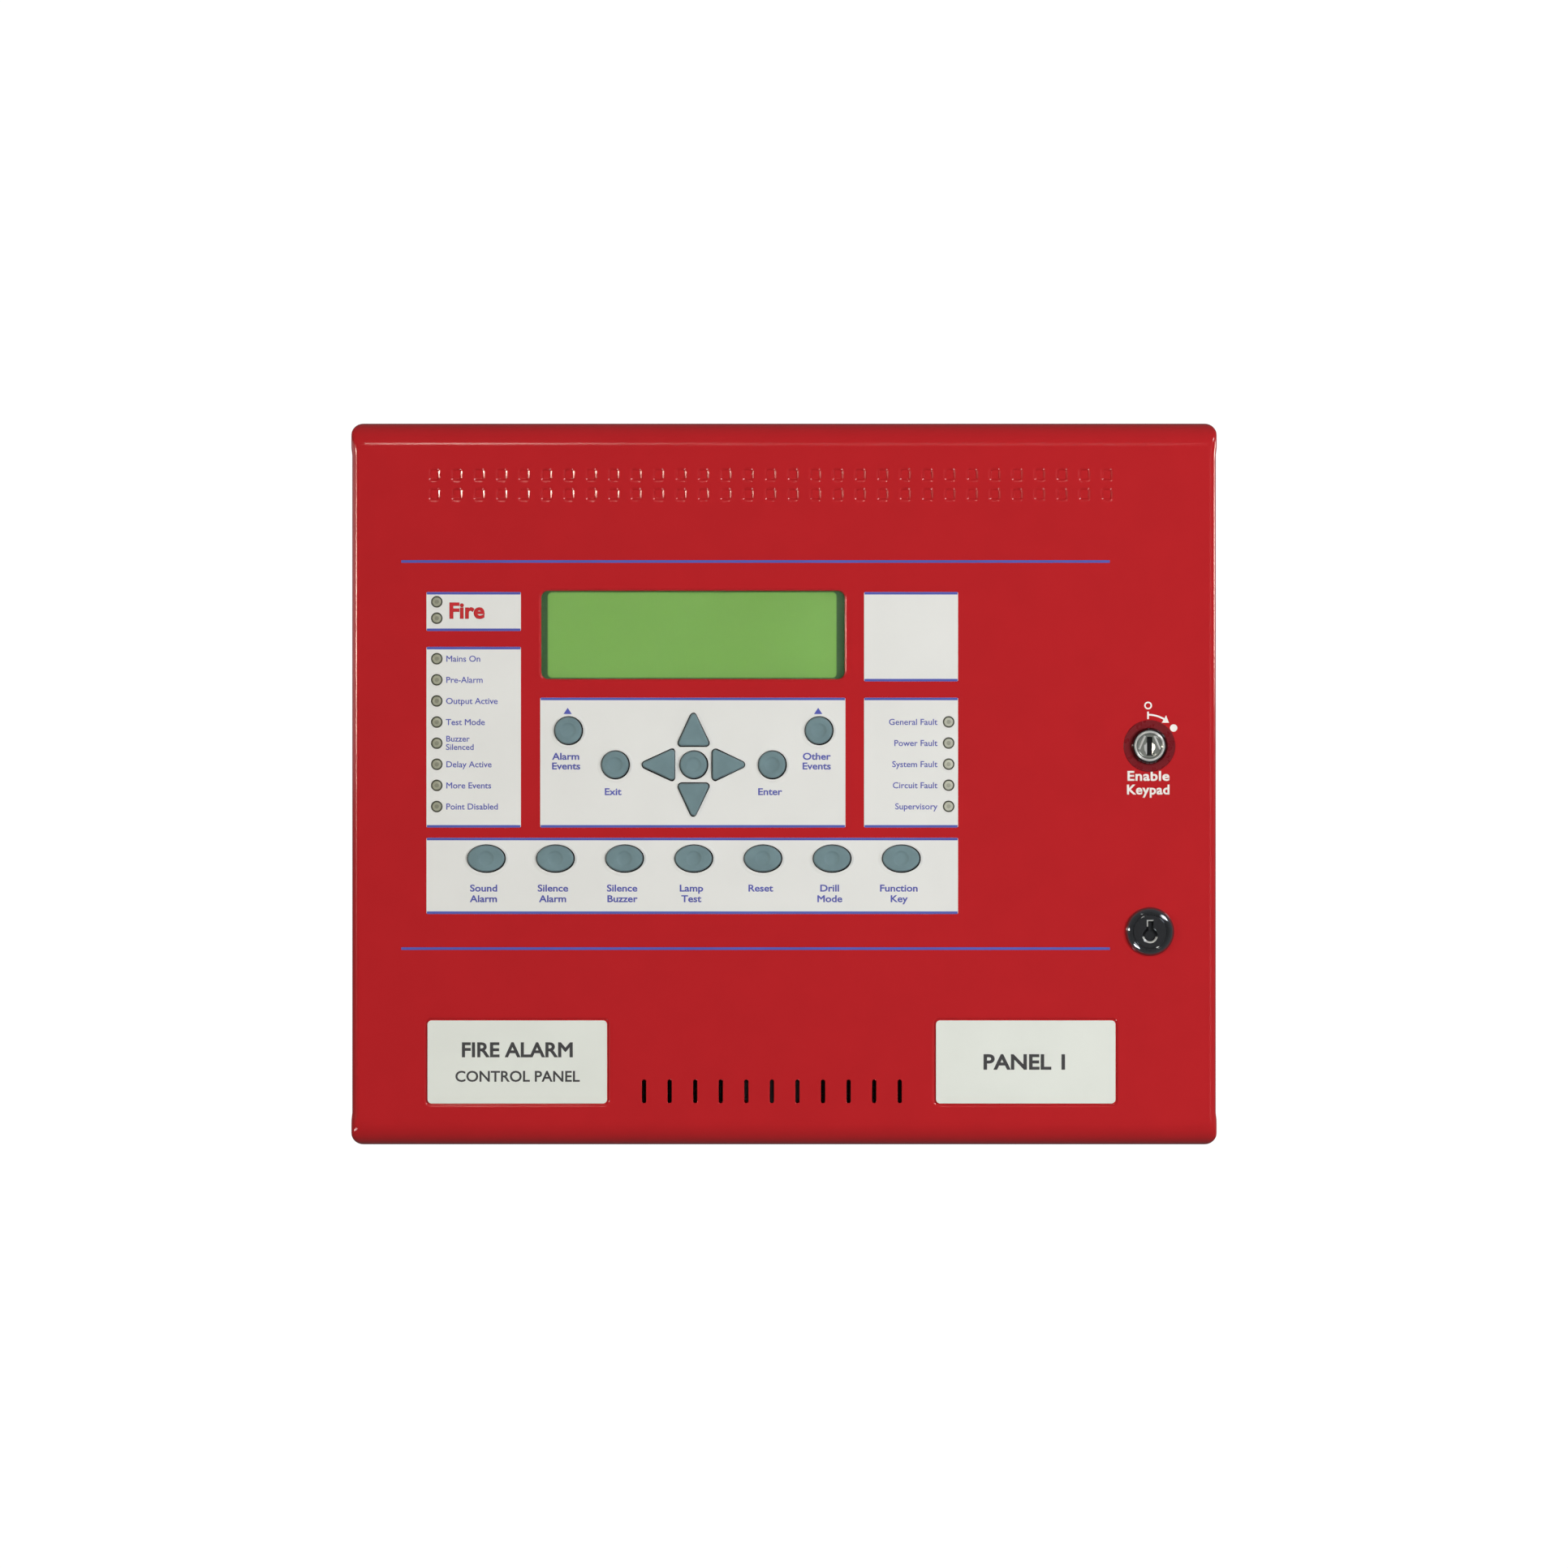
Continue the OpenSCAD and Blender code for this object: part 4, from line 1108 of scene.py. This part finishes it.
def build_case():
    mouth, back = CASE_LOW.y, CASE_HIGH.y
    turns = [math.radians(a) for a in (0, 22.5, 45, 67.5, 90)]
    rings = [case_ring(8, 3, mouth + SHEET), case_ring(8, 3, mouth + 0.3), case_ring(7.7, 3, mouth)]
    rings += [case_ring(1.5 * (1 - math.sin(t)), 3 + math.sin(t), mouth + 1.5 * (1 - math.cos(t)))
              for t in turns]
    rings += [case_ring(2 * (1 - math.cos(t)), 4, back - 2 + 2 * math.sin(t)) for t in turns]
    outer = Build()
    outer_rings = outer.loft(rings, start=False)
    inner_rings = [outer.ring(p) for p in (
        case_ring(SHEET + 0.5, 2.5, back - SHEET), case_ring(SHEET, 2.5, back - SHEET - 0.5),
        case_ring(SHEET, 2.5, mouth + SHEET))]
    for a, b in zip(inner_rings, inner_rings[1:]):
        outer.bridge(a, b)
    outer.faces.append(tuple(inner_rings[0]))
    outer.bridge(inner_rings[-1], outer_rings[0])
    cut = Build()
    for wx in (-150, 150):
        for wz in (-110, 110):
            cut.revolve([(3.25, -SHEET - 1), (3.25, -0.3), (3.5, 0), (3.5, 1)], (wx, wz), 32)
    top = CASE_HIGH.z

    def turned_up(profile, cx, sign, start=True, end=True):
        cut.loft([[(cx + r * math.cos(t), -36 + r * math.sin(t), sign * h)
                   for t in (2 * math.pi * k / 48 for k in range(48))] for r, h in profile], start, end)

    for cx in (-60, 60):
        turned_up([(10.25, top - SHEET - 1), (10.25, top - 0.25), (10.5, top), (10.5, top + 1)], cx, 1)
    for cx, sign in [(-120, 1), (0, 1), (120, 1)] + [(k, -1) for k in (-120, -60, 0, 60, 120)]:
        ring = [(10.1, top + 1), (10.1, top - 0.7), (10.6, top - 0.7), (10.6, top + 1)]
        turned_up(ring + ring[:1], cx, sign, False, False)
    mesh = carve(outer.mesh("case_skin"), cut.mesh("case_cuts"))
    place("case_box", mesh, RED, "case", ["back_box"], "back_box", weighted=True)

    seal = Build()
    low, high = edges_mm("box_gasket")
    w, h = high.x - low.x, high.z - low.z
    section = [(0, high.y), (0.1, low.y + 0.9), (0.5, low.y + 0.2), (1.2, low.y), (1.8, low.y),
               (2.5, low.y + 0.2), (2.9, low.y + 0.9), (3, high.y)]
    seal.band([Outline(*rectangle(w - 2 * d, h - 2 * d, 2.6), (0, 0), steps=6).ring(0, y)
               for d, y in section])
    put(seal, "case_seal", FOAM, "case", "box_gasket")


# ---------------------------------------------------------------- cables

def turn_points(middle, radius, start, end, plane, steps=10):
    """Points along a quarter bend; angles in degrees in the plane of two axes."""
    a, b = plane
    return [Vector(middle) + radius * (math.cos(t) * Vector(a) + math.sin(t) * Vector(b))
            for t in (math.radians(start + (end - start) * k / steps) for k in range(steps + 1))]


def straight(a, b, steps):
    a, b = Vector(a), Vector(b)
    return [a.lerp(b, k / steps) for k in range(1, steps)]


X, Y, Z = (1, 0, 0), (0, 1, 0), (0, 0, 1)


def build_ribbon():
    """A 26-way ribbon with a rib over each wire and one red edge."""
    low, high = edges_mm("ribbon_cable")
    box_x, door_x = low.x + 0.5, high.x - 0.5
    run_y = FRONT + 30
    path = [Vector((box_x, high.y, 0))] + straight((box_x, high.y, 0), (box_x, run_y + 6, 0), 10)
    path += turn_points((box_x + 6, run_y + 6, 0), 6, 180, 270, (X, Y))
    path += straight((box_x + 6, run_y, 0), (door_x - 6, run_y, 0), 24)
    path += turn_points((door_x - 6, run_y - 6, 0), 6, 90, 0, (X, Y))
    path += [Vector((door_x, low.y, 0))]
    ways = 26
    pitch = (high.z - low.z) / ways
    for name, first, last, material in (
            ("ribbon_wires", 0, ways - 1, plastic("ribbon_grey", (150, 152, 156), 0.45)),
            ("ribbon_red_edge", ways - 1, ways, plastic("ribbon_red", (176, 44, 44), 0.45))):
        build = Build()
        rings = []
        for i, p in enumerate(path):
            ahead = (path[min(i + 1, len(path) - 1)] - path[max(i - 1, 0)]).normalized()
            side = Vector((-ahead.y, ahead.x, 0))
            ring = []
            for face in (1, -1):
                steps = range(first * 4, last * 4 + 1)
                for k in (steps if face == 1 else reversed(steps)):
                    half = 0.2 + 0.28 * abs(math.sin(math.pi * k / 4))
                    ring.append(p + side * half * face + Vector((0, 0, low.z + pitch * k / 4)))
            rings.append(ring)
        build.loft(rings)
        mesh = build.mesh(name, 75)
        stands = ["ribbon_cable"] if first == 0 else []
        piece = place(name, mesh, material, None, stands, "ribbon_cable")
        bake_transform(piece)


def build_earth_lead():
    low, high = edges_mm("earth_lead")
    box_x, door_x = low.x + 5, high.x - 5
    stud_z = low.z + 5
    run_z = stud_z + 20
    run_y = FRONT + 28
    door_y = INNER + 3.9
    path = [Vector((box_x, -6, stud_z + 9)), Vector((box_x, -6, stud_z + 11))]
    path += turn_points((box_x, -12, run_z - 6), 6, 0, 90, (Y, Z))
    path += straight((box_x, -12, run_z), (box_x, run_y + 8, run_z), 12)
    path += turn_points((box_x + 8, run_y + 8, run_z), 8, 180, 270, (X, Y))
    path += straight((box_x + 8, run_y, run_z), (door_x - 8, run_y, run_z), 24)
    path += turn_points((door_x - 8, run_y - 8, run_z), 8, 90, 0, (X, Y))
    path += straight((door_x, run_y - 8, run_z), (door_x, door_y + 6, run_z), 4)
    path += turn_points((door_x, door_y + 6, run_z - 6), 6, 90, 180, (Y, Z))
    path += [Vector((door_x, door_y, stud_z + 11)), Vector((door_x, door_y, stud_z + 9))]
    wire = Build()
    wire.tube(path, 1.75, 20)
    coat = Material("green_yellow_sleeve", (58, 140, 58), 0.42)
    band = coat.ramp(coat.wave("DIAGONAL", 55), 0, 1, 0.5, 0.58)
    coat.paint(coat.mix(band, linear((52, 130, 54)), linear((214, 196, 50))))
    coat.bump(900, 0.01, 0.5)
    piece = place("earth_wire", wire.mesh("earth_wire"), coat.made, None, ["earth_lead"], "earth_lead")
    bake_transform(piece)
    tin = steel("tinned_lug", (206, 206, 204), 0.3)
    for name, at, y, body in (("earth_lug_case", box_x, -6, "case"),
                              ("earth_lug_door", door_x, door_y, "door")):
        lug = Build()
        lug.tube([(at, y, stud_z + 5.5), (at, y, stud_z + 11.5)], 2.3, 20)
        lug.band([[(at + px, d, stud_z + pz) for px, pz in rounded([(0, 0)], r, 6)]
                  for r, d in ((5, y - 0.8), (2.15, y - 0.8), (2.15, y + 0.8), (5, y + 0.8))])
        put(lug, name, tin, body, slot="earth_lead")


def build_leads():
    wires = Build()
    board_back = edges_mm("display_board")[1].y
    switch_back = edges_mm("keyswitch_contacts")[1].y
    for i, z in enumerate((8, 13)):
        end_z = KEYSWITCH[1] + (-5 if i == 0 else 5)
        path = [Vector((72, board_back + 6, z))]
        path += turn_points((76, board_back + 8, z), 4, 180, 90, (X, Y), 8)
        path += straight((76, board_back + 12, z), (140, board_back + 12, z), 8)
        path += [Vector((140, board_back + 12, z)),
                 Vector((148, board_back + 13.5, z + 0.1 * (end_z - z))),
                 Vector((153, board_back + 17, z + 0.3 * (end_z - z))),
                 Vector((156, switch_back - 3.5, z + 0.8 * (end_z - z))),
                 Vector((160.6, switch_back - 2, end_z))]
        wires.tube(path, 0.75, 12)
    put(wires, "switch_wires", plastic("wire_red", (150, 36, 36), 0.4), "door", "door_leads")


# ---------------------------------------------------------------- boards

def leads_along(build, low, high, y, count, length=0.9):
    """Short bent legs down the two long sides of a chip."""
    for side in (-1, 1):
        for k in range(count):
            z = low[1] + (high[1] - low[1]) * (k + 0.5) / count
            x = low[0] if side < 0 else high[0]
            a, b = sorted((x, x + side * length))
            build.box((a, y[0], z - 0.2), (b, y[1], z + 0.2))


def build_boards():
    rng = random.Random(7)
    bits, metal, pale = Build(), Build(), Build()
    term = edges_mm("terminal_board")
    face = term[0].y
    for k in range(150):
        x = rng.uniform(term[0].x + 34, term[1].x - 12)
        z = rng.uniform(-38, 48)
        if (-90 < x < 20 and 12 < z < 36 or -44 < x < -12 and -30 < z < 2
                or abs(z + 13.5) < 5 or z < 0 and x < -96 or 54 < x < 88 and 8 < z < 38):
            continue
        w, h = (1.6, 0.8) if rng.random() < 0.5 else (0.8, 1.6)
        (bits if rng.random() < 0.6 else pale).box((x - w * 0.32, face - 0.55, z - h * 0.32),
                                                  (x + w * 0.32, face, z + h * 0.32))
        metal.box((x - w / 2, face - 0.5, z - h / 2), (x + w / 2, face, z + h / 2))
    leads_along(metal, (-40, -26), (-16, -2), (face - 1.2, face), 22)
    for x in (-86, -70, 2, 18):
        leads_along(metal, (x, -16), (x + 6, -11), (face - 0.9, face), 4)
    put(bits, "terminal_board_bits", BLACK, "case", slot="board_parts")
    put(pale, "terminal_board_pale_bits", plastic("ceramic_tan", (176, 150, 112), 0.5), "case",
        slot="board_parts")
    put(metal, "terminal_board_solder", ZINC, "case", slot="board_parts")

    bits, metal = Build(), Build()
    back = edges_mm("display_board")[1].y
    for k in range(170):
        x = rng.uniform(-155, 75)
        z = rng.uniform(-52, 30)
        if -54 < x < -30 and -14 < z < 10 or z < -33 and z > -46 or abs(x + 100) < 8 or 62 < x:
            continue
        if 14 < x < 40 and -6 < z < 6 or -14 < x < -2 and 10 < z < 26 or x < -90 and x > -110:
            continue
        w, h = (1.6, 0.8) if rng.random() < 0.5 else (0.8, 1.6)
        bits.box((x - w * 0.32, back, z - h * 0.32), (x + w * 0.32, back + 0.55, z + h * 0.32))
        metal.box((x - w / 2, back, z - h / 2), (x + w / 2, back + 0.5, z + h / 2))
    leads_along(metal, (-52, -12), (-32, 8), (back, back + 1.1), 20)
    for x in (-76, -20, 4):
        leads_along(metal, (x, -44), (x + 12, -36), (back, back + 0.9), 7)
    for x, z in LAMP_PLACES:
        for dz in (-1.27, 1.27):
            metal.revolve([(0.9, back), (0.7, back + 0.5), (0.25, back + 1.1)], (x, z + dz), 10)
    put(bits, "display_board_bits", BLACK, "door", slot="display_parts")
    put(metal, "display_board_solder", ZINC, "door", slot="display_parts")


def paint_nodes():
    """The finish of each CAD node that stays in view, and how far its edges are eased."""
    for material, bevel, nodes in (
            (BOARD, 0, "terminal_board display_board lcd_board"),
            (TERMINAL_GREEN, 0.25, "terminal_blocks"),
            (ZINC, 0, "terminal_screws box_studs"), (RELAY_CASE, 0.6, "relays"),
            (BLACK, 0.2, "board_parts display_parts"), (DARK_GREY, 0.3, "box_header door_header"),
            (ZINC, 0.15, "box_nuts door_nuts camlock_nut"), (COPPER_FLASH, 0, "door_studs"),
            (NYLON, 0, "door_spacers"), (HINGE_STEEL, 0.12, "box_hinge_leaf door_hinge_leaf"),
            (ZINC, 0.2, "hinge_pin"), (RED, 0.3, "lock_catch"), (MAT_RUBBER, 0, "keypad_mat"),
            (BLACK_PAINT, 0.2, "lcd_bezel"), (FILM_WHITE, 0, "front_fields"),
            (PLATE_WHITE, 0.12, "name_plates"), (BLACK, 0.25, "sounder"),
            (BLACK, 0.3, "keyswitch_contacts")):
        for node in nodes.split():
            repaint(node, material, bevel)


def build_vent_screen():
    """A woven black screen behind the slots."""
    low, high = edges_mm("vent_screen")
    middle = (low.y + high.y) / 2
    weave = Build()
    for horizontal in (True, False):
        a0, a1 = (low.z, high.z) if horizontal else (low.x, high.x)
        b0, b1 = (low.x, high.x) if horizontal else (low.z, high.z)
        count = int((a1 - a0) / 1.3)
        for k in range(1, count):
            a = a0 + (a1 - a0) * k / count
            y = middle + (0.07 if horizontal else -0.07)
            ends = [(b0, y, a), (b1, y, a)] if horizontal else [(a, y, b0), (a, y, b1)]
            weave.tube(ends, 0.13, 5)
    put(weave, "vent_weave", SCREEN_MESH, "door", "vent_screen", sharp=80)


# ---------------------------------------------------------------- stage

def area_light(name, at, size, watts, tint=(1, 1, 1), aim=(0, -0.09, 0), glossy=True,
               diffuse=True):
    lamp = bpy.data.lights.new(name, "AREA")
    lamp.shape = "RECTANGLE"
    lamp.size, lamp.size_y = size
    lamp.energy = watts
    lamp.color = tint
    made = bpy.data.objects.new(name, lamp)
    made.location = at
    made.rotation_euler = (Vector(aim) - Vector(at)).to_track_quat("-Z", "Y").to_euler()
    made.visible_camera = False
    made.visible_glossy = glossy
    made.visible_diffuse = diffuse
    SCENE.collection.objects.link(made)


def build_stage():
    disc = Build()
    disc.revolve([(1600, 0), (1500, -1), (10, -1)], (0, 0), 96, start=False)
    floor = disc.mesh("floor")
    floor.transform(Matrix.Translation((0, 0, FLOOR_Z_M)) @ Matrix.Rotation(math.radians(-90), 4, "X"))
    pale = plastic("floor_paint", (236, 236, 234), 0.7, 300, 0.05, 0.01)
    ground = place("floor", floor, pale, None)
    ground.visible_glossy = False
    ground.visible_diffuse = False

    world = bpy.data.worlds.new("studio")
    SCENE.world = world
    world.use_nodes = True
    nodes, links = world.node_tree.nodes, world.node_tree.links
    seen = nodes["Background"]
    seen.inputs["Color"].default_value = (1, 1, 1, 1)
    seen.inputs["Strength"].default_value = 1.05
    path = nodes.new("ShaderNodeLightPath")
    output = nodes["World Output"].inputs["Surface"]
    unseen = nodes.new("ShaderNodeBackground")
    where = nodes.new("ShaderNodeTexCoord")
    split = nodes.new("ShaderNodeSeparateXYZ")
    links.new(where.outputs["Generated"], split.inputs[0])
    soft = nodes.new("ShaderNodeMix")
    links.new(path.outputs["Is Glossy Ray"], soft.inputs["Factor"])
    lit = map_range(world.node_tree, split.outputs["Y"], (-0.93, -0.5, 0.03, 0.24))
    for ends in ((-0.6, 0.3, 0.45, 1), (0.2, 0.9, 1, 0.6)):
        tilt = map_range(world.node_tree, split.outputs["Z"], ends)
        lit = calc(world.node_tree, "MULTIPLY", lit, tilt)
    links.new(lit, soft.inputs[2])
    mirrored = map_range(world.node_tree, split.outputs["Y"], (-0.8, 0.4, 0.02, 0.16))
    links.new(mirrored, soft.inputs[3])
    links.new(soft.outputs[0], unseen.inputs["Color"])
    mix = nodes.new("ShaderNodeMixShader")
    links.new(path.outputs["Is Camera Ray"], mix.inputs[0])
    links.new(unseen.outputs[0], mix.inputs[1])
    links.new(seen.outputs[0], mix.inputs[2])
    links.new(mix.outputs[0], output)

    area_light("flash", (-0.215, -2.6, 0.85), (0.08, 0.32), 1.5, (1, 0.92, 0.8))
    area_light("flash_fill", (0.1, -2.6, 0.75), (0.5, 0.5), 21.5, (1, 0.96, 0.92), glossy=False)
    area_light("left_strip", (-1.66, -1.2, 0.09), (0.16, 0.12), 7.5, (1, 0.9, 0.74))
    area_light("left_wash", (-1.5, -0.1, 0.1), (1.8, 0.2), 1.6, (1, 0.95, 0.9), diffuse=False)
    area_light("right_box", (1.0, -1.5, 0.0), (0.8, 0.8), 19, glossy=False)
    area_light("right_glint", (1.75, -1.9, 1.35), (0.8, 0.6), 22, diffuse=False)
    area_light("low_glint", (-1.1, -1.9, -1.55), (0.8, 0.4), 18, diffuse=False)
    area_light("right_rim", (1.3, 0.3, 0.115), (0.3, 0.12), 2.2, (1, 0.9, 0.8))
    area_light("back_box", (-1.4, 2.4, 0.9), (1.6, 1.2), 62, glossy=False)

    SCENE.view_settings.view_transform = "Standard"
    lens = bpy.data.cameras.new("camera")
    camera = bpy.data.objects.new("camera", lens)
    width = IMAGE_SIZE * MM_PER_PIXEL * MM
    lens.sensor_width = 36
    lens.lens = lens.sensor_width * CAMERA_DISTANCE_M / width
    camera.location = (0, FRONT * MM - CAMERA_DISTANCE_M, 0)
    camera.rotation_euler = (math.radians(90), 0, 0)
    SCENE.collection.objects.link(camera)
    SCENE.camera = camera


build_door()
build_rules()
build_rims()
build_legends()
build_keys()
build_lamps()
build_display()
build_keyswitch()
build_symbols()
build_camlock()
build_case()
build_ribbon()
build_earth_lead()
build_leads()
build_boards()
paint_nodes()
build_vent_screen()
build_stage()
